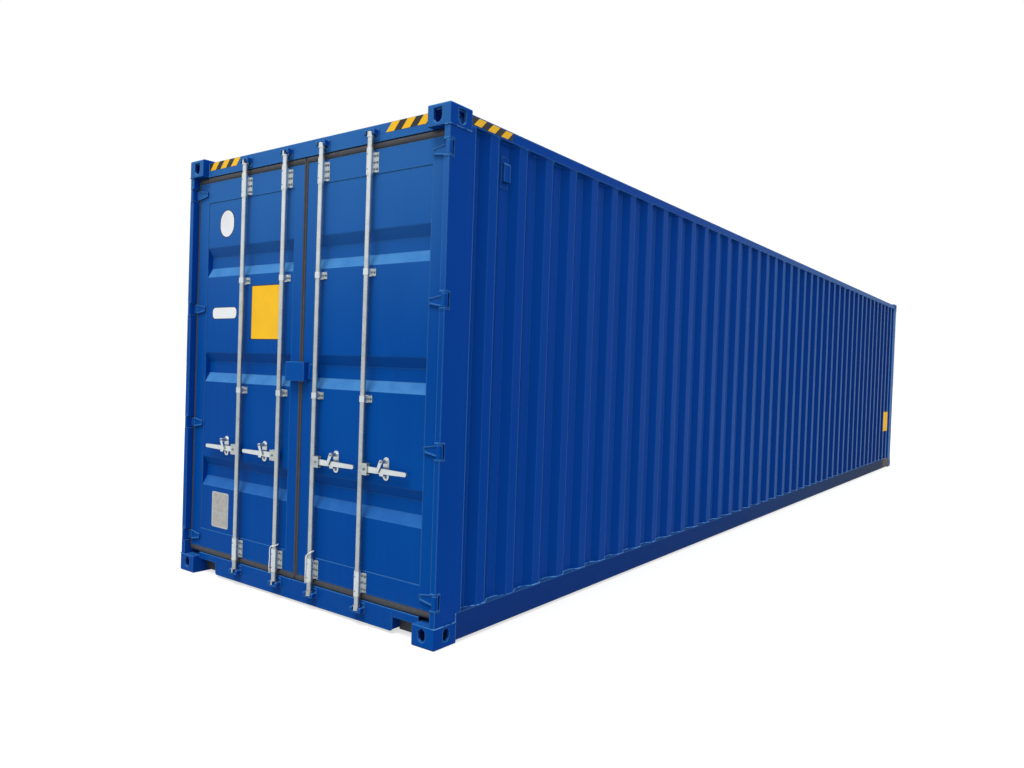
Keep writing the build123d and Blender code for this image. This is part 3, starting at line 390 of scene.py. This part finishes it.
def bolt_zinc(paints):
    """Zinc of bolt heads and rivets, darkened as a painted shade."""
    coat = Coat("bolt_zinc")
    patches = coat.noise(90.0, 4.0)
    tone = coat.blend(paints.bolt_shade, paints.zinc_dark, coat.ramp(patches, 0.3, 0.75) * 0.8)
    return coat.finish(Base_Color=tone, Metallic=0.5, Roughness=0.4 + patches * 0.2,
                       Normal=coat.bump(patches, 0.1, 0.0005))


def seal_rubber(paints):
    """Dull black rubber with a grey bloom."""
    coat = Coat("seal_rubber")
    bloom = coat.noise(24.0, 5.0)
    tone = coat.blend(paints.rubber, paints.bloom, coat.ramp(bloom, 0.45, 0.8) * 0.5)
    return coat.finish(Base_Color=tone, Roughness=0.58 + bloom * 0.2,
                       Normal=coat.bump(coat.noise(420.0, 2.0), 0.25, 0.001))


def floor_plywood(paints):
    """Floor boards: grain along the container and dark joints between sheets."""
    coat = Coat("floor_plywood")
    board_wide, board_long, boards_off = 0.6, 2.4, 50.0
    grain = coat.noise(1.0, 6.0, coat.stretch((2.5, 55.0, 55.0)))
    across = abs(coat.math("FRACT", coat.axis("Y") / board_wide + boards_off) - 0.5)
    along = abs(coat.math("FRACT", coat.axis("X") / board_long + boards_off) - 0.5)
    joint = coat.math("MAXIMUM", coat.ramp(across, 0.494, 0.498), coat.ramp(along, 0.4985, 0.4995))
    wood = coat.blend(paints.wood, paints.wood_dark, coat.ramp(grain, 0.4, 0.75))
    return coat.finish(Base_Color=coat.blend(wood, paints.wood_joint, joint), Roughness=0.55 + grain * 0.25,
                       Normal=coat.bump(grain * 0.3 - joint, 0.4, 0.003))


def underside_paint(paints):
    """Waxy dark coat under the floor."""
    coat = Coat("underside_paint")
    lumps = coat.noise(40.0, 4.0)
    tone = coat.blend(paints.base, paints.dust, coat.ramp(lumps, 0.55, 0.9) * 0.15)
    return coat.finish(Base_Color=tone, Roughness=0.5 + lumps * 0.3, Normal=coat.bump(lumps, 0.5, 0.002))


def rope_fibre(paints):
    """Pale rope fibres with a little grey dirt."""
    coat = Coat("rope_fibre")
    dirt = coat.noise(60.0, 4.0)
    tone = coat.blend(paints.rope, paints.rope_dirt, coat.ramp(dirt, 0.5, 0.85) * 0.5)
    return coat.finish(Base_Color=tone, Roughness=0.8 + dirt * 0.1,
                       Normal=coat.bump(coat.noise(1800.0, 2.0), 0.5, 0.0006))


def vinyl(name, ink):
    """Plain vinyl with a slight fade."""
    coat = Coat(name)
    fade = coat.noise(7.0, 4.0)
    darker = tuple(part * 0.9 for part in ink)
    tone = coat.blend(darker, ink, coat.ramp(fade, 0.2, 0.7))
    return coat.finish(Base_Color=tone, Roughness=0.40 + fade * 0.15, Normal=coat.bump(fade, 0.05, 0.001),
                       Specular_IOR_Level=0.2)


def plate_metal(paints):
    """Brushed metal of the bare plate's fields."""
    coat = Coat("plate_metal")
    brush = coat.noise(1.0, 4.0, coat.stretch((900.0, 25.0, 900.0)))
    stain = coat.noise(30.0, 4.0)
    tone = coat.blend(paints.plate, paints.plate_dark, coat.ramp(stain, 0.4, 0.8))
    return coat.finish(Base_Color=tone, Metallic=0.5, Roughness=0.42 + brush * 0.2,
                       Normal=coat.bump(brush, 0.1, 0.0005))


def material(name):
    """A finish that was mixed earlier."""
    return bpy.data.materials[name]


def to_mesh(shape, name):
    """Turn a finished bmesh into a mesh."""
    mesh = bpy.data.meshes.new(name)
    shape.to_mesh(mesh)
    shape.free()
    return mesh


def to_piece(shape, name, finish, body):
    """Turn a finished bmesh into a piece that rides on a body."""
    bmesh.ops.recalc_face_normals(shape, faces=shape.faces)
    return place(to_mesh(shape, name), name, finish, body)


def place(mesh, name, finish, body):
    """Link a mesh as a piece with its finish."""
    made = bpy.data.objects.new(name, mesh)
    bpy.context.scene.collection.objects.link(made)
    mesh.materials.clear()
    mesh.materials.append(material(finish))
    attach(made, body)
    return made


def shift(shape, made, way):
    """Move the points of what an operator made."""
    bmesh.ops.translate(shape, vec=way, verts=[part for part in made if isinstance(part, bmesh.types.BMVert)])


def thicken(shape, faces, depth):
    """Give flat faces a thickness towards depth."""
    shift(shape, bmesh.ops.extrude_face_region(shape, geom=faces)["geom"], depth)


def slab(shape, corners, depth):
    """A flat polygon given a thickness towards depth."""
    thicken(shape, [shape.faces.new([shape.verts.new(corner) for corner in corners])], depth)


def card(shape, spot, wide, tall, radius, thick):
    """A thin card with round corners that faces the doors' way, with its back at spot."""
    before = set(shape.faces)
    made = bmesh.ops.create_grid(shape, x_segments=1, y_segments=1, size=0.5,
                                 matrix=Matrix.Translation(spot) @ CARD_TURN @ Matrix.Diagonal((wide, tall, 1, 1)))
    bmesh.ops.bevel(shape, geom=made["verts"], offset=radius, affect="VERTICES", segments=6, profile=0.5, material=-1)
    thicken(shape, [face for face in shape.faces if face not in before], REARWARD * thick)


def turned(profile, steps):
    """A mesh turned from a profile of radius and height about Z."""
    shape = bmesh.new()
    points = [shape.verts.new((radius, 0.0, height)) for radius, height in profile]
    edges = [shape.edges.new(pair) for pair in zip(points, points[1:])]
    bmesh.ops.spin(shape, geom=points + edges, cent=(0, 0, 0), axis=(0, 0, 1), angle=2 * math.pi,
                   steps=steps, use_merge=True, use_duplicate=False)
    bmesh.ops.remove_doubles(shape, verts=shape.verts, dist=1e-6)
    bmesh.ops.recalc_face_normals(shape, faces=shape.faces)
    return to_mesh(shape, "turned")


def stamp(shape, pattern, spot, outward, scale=1.0):
    """Copy a small pattern onto a spot, standing along outward."""
    before = len(shape.verts)
    shape.from_mesh(pattern)
    shape.verts.ensure_lookup_table()
    turn = Vector(outward).to_track_quat("Z", "Y").to_matrix().to_4x4()
    bmesh.ops.transform(shape, matrix=Matrix.Translation(spot) @ turn @ Matrix.Scale(scale, 4),
                        verts=shape.verts[before:])


def bolt_pattern(fittings):
    """A hexagon head on a washer."""
    radius, height = fittings.bolt_radius, fittings.bolt_height
    # Number of sides, then shares of the bolt's size: radius below and above, start and end of the height
    layers = ((18, 1.28, 1.2, 0.0, 0.25), (6, 1.0, 1.0, 0.25, 0.85), (6, 1.0, 0.82, 0.85, 1.0))
    shape = bmesh.new()
    for sides, wide, top, low, high in layers:
        lift = Matrix.Translation((0, 0, (low + high) / 2 * height))
        bmesh.ops.create_cone(shape, cap_ends=True, segments=sides, radius1=wide * radius,
                              radius2=top * radius, depth=(high - low) * height, matrix=lift)
    return to_mesh(shape, "bolt")


def rivet_pattern(fittings):
    """A domed rivet."""
    radius, height = fittings.rivet_radius, fittings.rivet_height
    profile = ((0.0, height), (0.45 * radius, 0.9 * height), (0.8 * radius, 0.6 * height), (radius, 0.15 * height),
               (radius, 0.0), (0.0, 0.0))
    return turned(profile, 14)


def curve(name, kind, runs, smooth=12):
    """A curve with one spline for each run of points."""
    line = bpy.data.curves.new(name, "CURVE")
    line.dimensions = "3D"
    line.resolution_u = smooth
    for run in runs:
        spline = line.splines.new(kind)
        spline.points.add(len(run) - 1)
        for point, spot in zip(spline.points, run):
            point.co = (*spot, 1.0)
    return line


def curve_mesh(line):
    """The mesh of a curve, which is then removed."""
    holder = bpy.data.objects.new("curve_holder", line)
    bpy.context.scene.collection.objects.link(holder)
    bpy.context.view_layer.update()
    mesh = bpy.data.meshes.new_from_object(holder.evaluated_get(bpy.context.evaluated_depsgraph_get()))
    bpy.data.objects.remove(holder)
    bpy.data.curves.remove(line)
    return mesh


def tube(name, runs, radius, finish, body, sides=2):
    """A piece made of round strips along runs of points."""
    line = curve(name, "POLY", runs)
    line.bevel_depth = radius
    line.bevel_resolution = sides
    line.use_fill_caps = True
    mesh = curve_mesh(line)
    for face in mesh.polygons:
        face.use_smooth = True
    return place(mesh, name, finish, body)


def outline(node, level):
    """The outer line of a pressed sheet at its lowest or highest edge."""
    points = {}
    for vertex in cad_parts[node].data.vertices:
        if abs(vertex.co.z - level) < 1e-4:
            key = round(vertex.co.x, 4)
            if abs(vertex.co.y) > abs(points.get(key, (0, 0))[1]):
                points[key] = (vertex.co.x, vertex.co.y)
    return [(*points[key], level) for key in sorted(points)]


class CONTAINER_OT_finishes(bpy.types.Operator):
    """Mix the finishes and paint the CAD nodes with them"""
    bl_idname = "container.finishes"
    bl_label = "Paint the container"

    # The finish of each CAD node, by the end of its name; the rest is shell paint
    endings = {"_brackets": "handled_zinc", "_bar": "zinc_coat", "_handle": "handled_zinc",
               "_catch": "handled_zinc", "_seal": "seal_rubber", "floor_boards": "floor_plywood",
               "cross_members": "underside_paint", "gooseneck_tunnel": "underside_paint",
               "_rope": "rope_fibre", "bottom_side_rails": "rail_paint"}

    def execute(self, context):
        paints = context.scene.container_paints
        for mix in (shell_paint, rail_paint, bead_highlight_paint, zinc_coat, handled_zinc, bolt_zinc, seal_rubber,
                    floor_plywood, underside_paint, rope_fibre, plate_metal):
            mix(paints)
        for name, ink in (("yellow_vinyl", paints.yellow), ("dark_vinyl", paints.dark),
                          ("white_vinyl", paints.label)):
            vinyl(name, tuple(ink))
        for name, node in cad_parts.items():
            finish = next((value for key, value in self.endings.items() if name.endswith(key)), "shell_paint")
            node.data.materials.clear()
            node.data.materials.append(material(finish))
        return {"FINISHED"}


class CONTAINER_OT_tie_ropes(bpy.types.Operator):
    """Lay the two tie ropes along their routes and twist their strands"""
    bl_idname = "container.tie_ropes"
    bl_label = "Tie ropes"

    # Points of each rope in millimetres along Y, X and Z, from the axis of its bar at the seat's height
    routes = {
        "right": ((20, -16, -160), (23, -15, -113), (20, -17, -66), (21, -17, -22), (19.4, -19.4, 6),
                  (-19.4, -19.4, 32), (-19.4, 19.4, 38), (19.4, 19.4, 34), (27, -3, 6), (30, -8, -26),
                  (28, -9, -72), (31, -8, -119), (29, -9, -152)),
        "left": ((34, -10, -165), (36, -14, -118), (33, -11, -71), (30, -15, -27), (19.4, -19.4, 10),
                 (-19.4, -19.4, 15), (-19.4, 19.4, 20), (19.4, 19.4, 25), (31, 9, -19), (35, 6, -65),
                 (32, 3, -113), (34, 6, -153)),
    }
    seat = 0.3228
    strand_count = 3
    strand_share = 0.62

    def centreline(self, name, points):
        """Points along the smooth line of a route."""
        line = curve(name + "_line", "NURBS", [points], smooth=16)
        line.splines[0].order_u = 3
        line.splines[0].use_endpoint_u = True
        mesh = curve_mesh(line)
        path = [vertex.co.copy() for vertex in mesh.vertices]
        bpy.data.meshes.remove(mesh)
        return path

    def strands(self, path, fittings, thick):
        """Lines of strands twisted round a centreline."""
        off = fittings.rope_diameter / 2 - thick
        lines = [[] for _ in range(self.strand_count)]
        gone = 0.0
        across = Vector((1, 0, 0))
        for index, spot in enumerate(path):
            last = path[max(index - 1, 0)]
            ahead = (path[min(index + 1, len(path) - 1)] - last).normalized()
            gone += (spot - last).length
            across = (across - ahead * ahead.dot(across)).normalized()
            over = ahead.cross(across)
            for number, line in enumerate(lines):
                turn = 2 * math.pi * (gone / fittings.rope_lay + number / self.strand_count)
                line.append(spot + (across * math.cos(turn) + over * math.sin(turn)) * off)
        return lines

    def execute(self, context):
        fittings = context.scene.container_fittings
        thick = fittings.rope_diameter / 2 * self.strand_share
        for side, sign in SIDES.items():
            points = [(BAR_X + deep / 1000, sign * BARS["inner"] + across / 1000, self.seat + rise / 1000)
                      for across, deep, rise in self.routes[side]]
            path = self.centreline(side + "_rope", points)
            rope = tube(side + "_rope", self.strands(path, fittings, thick), thick, "rope_fibre", side + "_door")
            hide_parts(side + "_tie_rope")
            getattr(fittings, side + "_rope")
        return {"FINISHED"}


class CONTAINER_OT_hazard_stripes(bpy.types.Operator):
    """Lay yellow stripes on a dark ground at the ends of the header and the top rails"""
    bl_idname = "container.hazard_stripes"
    bl_label = "Hazard stripes"

    # From the top of the header to its bands, from the foot of the rails to theirs, and dark edges of bands
    header_drop = 0.002
    rail_lift = 0.010
    header_edge = 0.012
    rail_edge = 0.020

    def band(self, name, start, along, outward, tall, first, low_run, high_run):
        """One band: a dark ground from run to run, with leaning yellow stripes on it."""
        marks = bpy.context.scene.container_marks
        start, along, outward = Vector(start), Vector(along), Vector(outward)
        rise = Vector((0, 0, tall))
        ground = bmesh.new()
        slab(ground, (start + along * low_run[0], start + along * low_run[1], start + along * high_run[1] + rise,
                      start + along * high_run[0] + rise), outward * marks.vinyl)
        to_piece(ground, name + "_ground", "dark_vinyl", SHELL)
        stripes = bmesh.new()
        lean = along * marks.stripe_lean + rise
        for index in range(marks.stripe_count):
            foot = start + along * (first + index * marks.stripe_pitch) + outward * marks.vinyl
            far = foot + along * marks.stripe_width
            slab(stripes, (foot, far, far + lean, foot + lean), outward * marks.vinyl)
        end = start + along * max(low_run[1], high_run[1])
        bmesh.ops.bisect_plane(stripes, geom=stripes.verts[:] + stripes.edges[:] + stripes.faces[:], plane_co=end,
                               plane_no=along, clear_outer=True)
        bmesh.ops.holes_fill(stripes, edges=[edge for edge in stripes.edges if edge.is_boundary])
        to_piece(stripes, name + "_stripes", "yellow_vinyl", SHELL)

    def execute(self, context):
        marks = context.scene.container_marks
        whole = marks.stripe_pitch * marks.stripe_count
        last = whole - marks.stripe_pitch + marks.stripe_width
        low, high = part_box("door_header")
        foot = high.z - self.header_drop - marks.header_band
        self.band("header_right", (low.x, low.y + whole, foot), (0, -1, 0), REARWARD, marks.header_band, 0.0,
                  (0.0, whole), (marks.stripe_lean, whole))
        reach = self.header_edge + last
        self.band("header_left", (low.x, high.y, foot), (0, -1, 0), REARWARD, marks.header_band, self.header_edge,
                  (0.0, reach), (0.0, reach + marks.stripe_lean))
        low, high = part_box("top_side_rails")
        run = (0.0, self.rail_edge + last + marks.stripe_lean)
        for side, sign in SIDES.items():
            face = low.y if sign < 0 else high.y
            self.band("rail_" + side, (low.x, face, low.z + self.rail_lift), (1, 0, 0), (0, sign, 0),
                      marks.rail_band, self.rail_edge, run, run)
        return {"FINISHED"}


class CONTAINER_OT_labels(bpy.types.Operator):
    """Stick plain labels and a bare plate on the left door and the right wall"""
    bl_idname = "container.labels"
    bl_label = "Plain labels"

    # Labels on the left door: name, finish, middle on Y and Z, width and height, corner radius and layer
    cards = (("oval_rim", "dark_vinyl", (0.837, 2.438), (0.164, 0.190), 0.080, 0),
             ("oval_label", "white_vinyl", (0.837, 2.438), (0.154, 0.180), 0.0769, 1),
             ("strip_rim", "dark_vinyl", (0.843, 1.826), (0.284, 0.082), 0.034, 0),
             ("strip_label", "white_vinyl", (0.843, 1.826), (0.276, 0.074), 0.030, 1),
             ("panel_border", "dark_vinyl", (0.386, 1.824), (0.302, 0.358), 0.010, 0),
             ("panel_label", "yellow_vinyl", (0.386, 1.824), (0.292, 0.348), 0.008, 1))

    # The plate: its middle on Y and Z, width and height, corner radius, thickness and rivets from its middle
    plate_middle = (0.834, 0.467)
    plate_size = (0.193, 0.245)
    plate_corner = 0.016
    plate_thick = 0.0015
    studs = ((-0.0905, 0.014), (0.0905, 0.014), (0.0, 0.1165), (0.0, -0.1165))
    stud_scale = 0.5

    # Its blank fields: how far above its middle and how tall, then what they share
    fields = ((0.066, 0.088), (0.001, 0.030), (-0.066, 0.088))
    field_wide = 0.166
    field_corner = 0.005
    field_thick = 0.0008

    # The panel on the right wall: its stretch along X, then name, finish, foot, head and layer
    wall_run = (5.38, 5.74)
    wall_layers = (("wall_border", "dark_vinyl", 0.636, 1.003, 0), ("wall_label", "yellow_vinyl", 0.654, 0.985, 1))

    def data_plate(self, context, panel):
        """A bare riveted plate: a bright rim round blank pressed fields."""
        middle, level = self.plate_middle
        front = panel - self.plate_thick
        rim = bmesh.new()
        card(rim, (panel, middle, level), *self.plate_size, self.plate_corner, self.plate_thick)
        stud = rivet_pattern(context.scene.container_fittings)
        for across, rise in self.studs:
            stamp(rim, stud, (front, middle + across, level + rise), REARWARD, self.stud_scale)
        to_piece(rim, "plate_rim", "zinc_coat", "left_door")
        fields = bmesh.new()
        for rise, tall in self.fields:
            card(fields, (front, middle, level + rise), self.field_wide, tall, self.field_corner, self.field_thick)
        to_piece(fields, "plate_fields", "plate_metal", "left_door")

    def wall_panel(self, context):
        """A plain panel that follows the folds of the right wall near its front end."""
        thin = context.scene.container_marks.vinyl
        start, end = self.wall_run
        folds = [spot for spot in outline("right_side_wall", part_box("right_side_wall")[0].z) if start < spot[0] < end]
        for name, finish, foot, head, layer in self.wall_layers:
            shape = bmesh.new()
            points = [shape.verts.new((x, y - thin - layer * thin, foot)) for x, y, _ in folds]
            line = [shape.edges.new(pair) for pair in zip(points, points[1:])]
            shift(shape, bmesh.ops.extrude_edge_only(shape, edges=line)["geom"], (0, 0, head - foot))
            bmesh.ops.recalc_face_normals(shape, faces=shape.faces)
            bmesh.ops.solidify(shape, geom=shape.faces[:], thickness=thin)
            to_piece(shape, name, finish, SHELL)

    def execute(self, context):
        thin = context.scene.container_marks.vinyl
        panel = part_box("left_door_panel")[0].x
        for name, finish, middle, wide_tall, radius, layer in self.cards:
            shape = bmesh.new()
            card(shape, (panel - layer * thin, *middle), *wide_tall, radius, thin)
            to_piece(shape, name, finish, "left_door")
        self.data_plate(context, panel)
        self.wall_panel(context)
        return {"FINISHED"}


class CONTAINER_OT_weld_beads(bpy.types.Operator):
    """Run weld beads along the joints of walls, rails, posts and castings"""
    bl_idname = "container.weld_beads"
    bl_label = "Weld beads"

    # How far a bead goes on round the corner of a post
    rear_return = 0.037
    front_return = 0.060

    def wall_beads(self, fittings):
        """Beads along the feet, heads and ends of the side walls."""
        feet, heads = [], []
        for side, sign in SIDES.items():
            low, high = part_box(side + "_side_wall")
            feet.append(outline(side + "_side_wall", low.z))
            heads.append(outline(side + "_side_wall", high.z))
            valley = sign * min(abs(spot[1]) for spot in heads[-1])
            feet += [[(end, valley, low.z), (end, valley, high.z)] for end in (low.x, high.x)]
        # The feet and ends carry a painted highlight; the heads keep plain shell paint
        tube("wall_beads", feet, fittings.bead_radius, "bead_highlight_paint", SHELL)
        tube("roof_beads", heads, fittings.bead_radius, "shell_paint", SHELL)

    def frame_beads(self, fittings):
        """Fine beads at the ends of the posts, the door header and the rails."""
        runs = []
        rear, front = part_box("rear_corner_posts"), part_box("front_corner_posts")
        header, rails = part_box("door_header"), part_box("bottom_side_rails")
        levels = (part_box("bottom_corner_castings")[1].z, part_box("top_corner_castings")[0].z)
        corners = ((rails[0].x, rear[0].x, self.rear_return), (rails[1].x, front[1].x, self.front_return))
        for sign in SIDES.values():
            outer, inner = rear[1].y * sign, header[1].y * sign
            for level in levels:
                for near, far, back in corners:
                    runs.append([(near, outer, level), (far, outer, level), (far, outer - sign * back, level)])
            runs.append([(header[0].x, inner, header[0].z), (header[0].x, inner, header[1].z)])
        for rail in ("bottom_side_rails", "top_side_rails"):
            low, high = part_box(rail)
            for end in (low.x, high.x):
                for face in (low.y, high.y):
                    runs.append([(end, face, low.z), (end, face, high.z)])
        # The fine beads carry a painted highlight too
        tube("frame_beads", runs, fittings.fine_bead, "bead_highlight_paint", SHELL)

    def execute(self, context):
        fittings = context.scene.container_fittings
        self.wall_beads(fittings)
        self.frame_beads(fittings)
        return {"FINISHED"}


class CONTAINER_OT_bolts(bpy.types.Operator):
    """Set bolts, rivets and grease holes in the bearings, guides, retainers, hubs and vents"""
    bl_idname = "container.bolts"
    bl_label = "Bolts and rivets"

    # Bearings and guides: thickness of their plates, their heights, and bolts from the middle of a plate
    plate_thick = 0.005
    bearing_levels = (2.662, 0.244)
    guide_levels = (1.307, 2.035)
    bolts_across = (-0.032, 0.032)
    bolts_up = (-0.038, 0.0, 0.038)

    # Grease holes: how far their rivets stand from a bar's axis, and their places along a bearing
    sleeve_radius = 0.0183
    grease_up = (-0.045, 0.04)
    grease_scale = 0.6

    # Retainers: how far they lie outside a bar, the heights of their rivet and of the catch's pin
    retainer_across = 0.174
    retainer_level = 0.872
    pin_level = 0.9615
    pin_front = 0.0015
    pin_scale = 0.75

    # Hubs: how far a handle's pin lies outside a bar, its height, and how far its bolt stands out
    hub_across = 0.038
    hub_level = 0.908
    hub_front = 0.007

    # Ventilators: place along the side, outer face, and rivets of a plate
    vent_x = 5.560
    vent_face = 1.174
    vent_across = (-0.026, 0.026)
    vent_levels = (2.5545, 2.7255)
    vent_scale = 0.7

    def bracket_bolts(self, side, sign, bolt, rivet):
        """Bolts of the bearings and guides, and rivets of the retainers, on one leaf."""
        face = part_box(side + "_door_frame")[0].x - self.plate_thick
        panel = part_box(side + "_door_panel")[0].x - self.plate_thick
        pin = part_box(f"{side}_inner_catch")[0].x - self.pin_front
        shape = bmesh.new()
        for bar_y in BARS.values():
            for level in self.bearing_levels:
                for across in self.bolts_across:
                    for rise in self.bolts_up:
                        stamp(shape, bolt, (face, sign * bar_y + across, level + rise), REARWARD)
            for level in self.guide_levels:
                for across in self.bolts_across:
                    stamp(shape, bolt, (panel, sign * bar_y + across, level), REARWARD)
            retainer = sign * (bar_y + self.retainer_across)
            stamp(shape, rivet, (panel, retainer, self.retainer_level), REARWARD)
            stamp(shape, rivet, (pin, retainer, self.pin_level), REARWARD, self.pin_scale)
        to_piece(shape, side + "_bracket_bolts", "bolt_zinc", side + "_door")

    def grease_holes(self, side, sign, rivet):
        """Small dark domes in the bearings of one leaf: painted shade standing in for the grease holes."""
        shape = bmesh.new()
        for bar_y in BARS.values():
            for level in self.bearing_levels:
                for rise in self.grease_up:
                    axis = Vector((BAR_X, sign * bar_y, level + rise))
                    stamp(shape, rivet, axis + REARWARD * self.sleeve_radius, REARWARD, self.grease_scale)
        # Dark vinyl as the painted shade of each hole
        to_piece(shape, side + "_grease_holes", "dark_vinyl", side + "_door")

    def hub_bolts(self, side, sign, bolt):
        """The bolt of each handle's pin on one leaf."""
        for bar, bar_y in BARS.items():
            shape = bmesh.new()
            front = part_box(f"{side}_{bar}_handle")[0].x - self.hub_front
            stamp(shape, bolt, (front, sign * (bar_y + self.hub_across), self.hub_level), REARWARD)
            to_piece(shape, f"{side}_{bar}_hub_bolt", "bolt_zinc", f"{side}_{bar}_bar")

    def vent_rivets(self, rivet):
        """Rivets at the corners of the ventilators' plates."""
        shape = bmesh.new()
        for sign in SIDES.values():
            for across in self.vent_across:
                for level in self.vent_levels:
                    stamp(shape, rivet, (sign * self.vent_x + across, sign * self.vent_face, level), (0, sign, 0),
                          self.vent_scale)
        to_piece(shape, "vent_rivets", "shell_paint", SHELL)

    def execute(self, context):
        fittings = context.scene.container_fittings
        bolt, rivet = bolt_pattern(fittings), rivet_pattern(fittings)
        for side, sign in SIDES.items():
            self.bracket_bolts(side, sign, bolt, rivet)
            self.grease_holes(side, sign, rivet)
            self.hub_bolts(side, sign, bolt)
        self.vent_rivets(rivet)
        return {"FINISHED"}


class CONTAINER_OT_seal_lips(bpy.types.Operator):
    """Run rubber lips along the door seals"""
    bl_idname = "container.seal_lips"
    bl_label = "Seal lips"

    # Room beside the level lips, at their ends, between the centre lips and beside the hinge lips
    level_room = 0.002
    end_room = 0.003
    centre_room = 0.001
    hinge_room = 0.004
    hinge_half = 0.006

    def lips(self, name, side, face, runs, half, rise):
        """Round strips along runs, flattened against the face of the seal."""
        strip = tube(name, runs, half, "seal_rubber", side + "_door", sides=3)
        strip.data.transform(Matrix.Translation((face, 0, 0)) @ Matrix.Scale(rise / half, 4, (1, 0, 0))
                             @ Matrix.Translation((-face, 0, 0)))

    def execute(self, context):
        fittings = context.scene.container_fittings
        for side, sign in SIDES.items():
            low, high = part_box(side + "_door_seal")
            leaf_low, leaf_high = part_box(side + "_door_frame")
            half = (leaf_low.z - low.z) / 2 - self.level_room
            levels = ((low.z + leaf_low.z) / 2, (high.z + leaf_high.z) / 2)
            across = (low.y + self.end_room, high.y - self.end_room)
            upright = (low.z + half, high.z - half)
            centre = sign * (fittings.lip_radius + self.centre_room)
            hinge = (low.y if sign < 0 else high.y) - sign * self.hinge_room
            strips = (("_level_lips", [[(low.x, y, z) for y in across] for z in levels], half),
                      ("_centre_lip", [[(low.x, centre, z) for z in upright]], fittings.lip_radius),
                      ("_hinge_lip", [[(low.x, hinge, z) for z in upright]], self.hinge_half))
            for ending, runs, wide in strips:
                self.lips(side + ending, side, low.x, runs, wide, fittings.lip_rise)
        return {"FINISHED"}


class CONTAINER_OT_studio(bpy.types.Operator):
    """Set the floor, the lamp, the backdrop and the camera"""
    bl_idname = "container.studio"
    bl_label = "Studio"

    floor_half = 400.0
    sky_tint = (0.95, 0.98, 1.0, 1.0)
    backdrop = (1.0, 1.0, 1.0, 1.0)
    sun_aim = (0.42, 0.05, -0.90)
    sun_spread = 28.0
    sensor = 36.0
    farthest = 2000.0

    def floor(self, studio):
        """A wide pale floor that keeps the container's shadow."""
        shape = bmesh.new()
        bmesh.ops.create_grid(shape, x_segments=1, y_segments=1, size=self.floor_half)
        mesh = to_mesh(shape, "floor")
        made = bpy.data.objects.new("floor", mesh)
        bpy.context.scene.collection.objects.link(made)
        coat = Coat("studio_floor")
        dull = coat.node("ShaderNodeBsdfDiffuse", Color=flat(studio.floor))
        glow = coat.node("ShaderNodeEmission", Strength=coat.seen() * studio.floor_lift)
        both = coat.node("ShaderNodeAddShader", None, {0: dull, 1: glow})
        coat.node("ShaderNodeOutputMaterial", Surface=both)
        mesh.materials.append(coat.material)

    def sky(self, studio):
        """A white backdrop, and a softer light from all round."""
        coat = Coat("studio", bpy.data.worlds)
        soft = coat.node("ShaderNodeBackground", Color=self.sky_tint, Strength=studio.sky)
        white = coat.node("ShaderNodeBackground", Color=self.backdrop)
        both = coat.node("ShaderNodeMixShader", None, {0: coat.seen(), 1: soft, 2: white})
        coat.node("ShaderNodeOutputWorld", Surface=both)
        bpy.context.scene.world = coat.material

    def lamp(self, studio):
        """One wide sun over the doors' end."""
        lamp = bpy.data.lights.new("key", "SUN")
        lamp.energy = studio.sun
        lamp.angle = math.radians(self.sun_spread)
        key = bpy.data.objects.new("key", lamp)
        key.rotation_mode = "QUATERNION"
        key.rotation_quaternion = Vector(self.sun_aim).to_track_quat("-Z", "Y")
        bpy.context.scene.collection.objects.link(key)

    def camera(self, studio):
        """The camera at the photograph's place."""
        eye = bpy.data.cameras.new("camera")
        eye.lens = studio.lens
        eye.sensor_width = self.sensor
        eye.clip_end = self.farthest
        camera = bpy.data.objects.new("camera", eye)
        camera.location = studio.camera_place
        camera.rotation_euler = studio.camera_turn
        bpy.context.scene.collection.objects.link(camera)
        bpy.context.scene.camera = camera

    def execute(self, context):
        studio = context.scene.container_studio
        for part in (self.floor, self.sky, self.lamp, self.camera):
            part(studio)
        context.scene.view_settings.view_transform = "Standard"
        return {"FINISHED"}


class CONTAINER_PT_panel(bpy.types.Panel):
    """Lists the steps that dress the container"""
    bl_idname = "CONTAINER_PT_panel"
    bl_label = "Container"
    bl_space_type = "VIEW_3D"
    bl_region_type = "UI"
    bl_category = "Container"

    def draw(self, context):
        for step in STEPS:
            self.layout.operator(step.bl_idname)


GROUPS = {"container_paints": ContainerPaints, "container_marks": ContainerMarks,
          "container_fittings": ContainerFittings, "container_studio": ContainerStudio}
STEPS = (CONTAINER_OT_studio, CONTAINER_OT_finishes, CONTAINER_OT_tie_ropes, CONTAINER_OT_hazard_stripes,
         CONTAINER_OT_labels, CONTAINER_OT_weld_beads, CONTAINER_OT_bolts, CONTAINER_OT_seal_lips)


def register():
    for kind in (*GROUPS.values(), *STEPS, CONTAINER_PT_panel):
        bpy.utils.register_class(kind)
    for name, kind in GROUPS.items():
        setattr(bpy.types.Scene, name, PointerProperty(type=kind))


def unregister():
    for name in GROUPS:
        delattr(bpy.types.Scene, name)
    for kind in reversed((*GROUPS.values(), *STEPS, CONTAINER_PT_panel)):
        bpy.utils.unregister_class(kind)


def main():
    """Dress the container."""
    register()
    for step in STEPS:
        group, name = step.bl_idname.split(".")
        getattr(getattr(bpy.ops, group), name)()


if __name__ == "__main__":
    main()
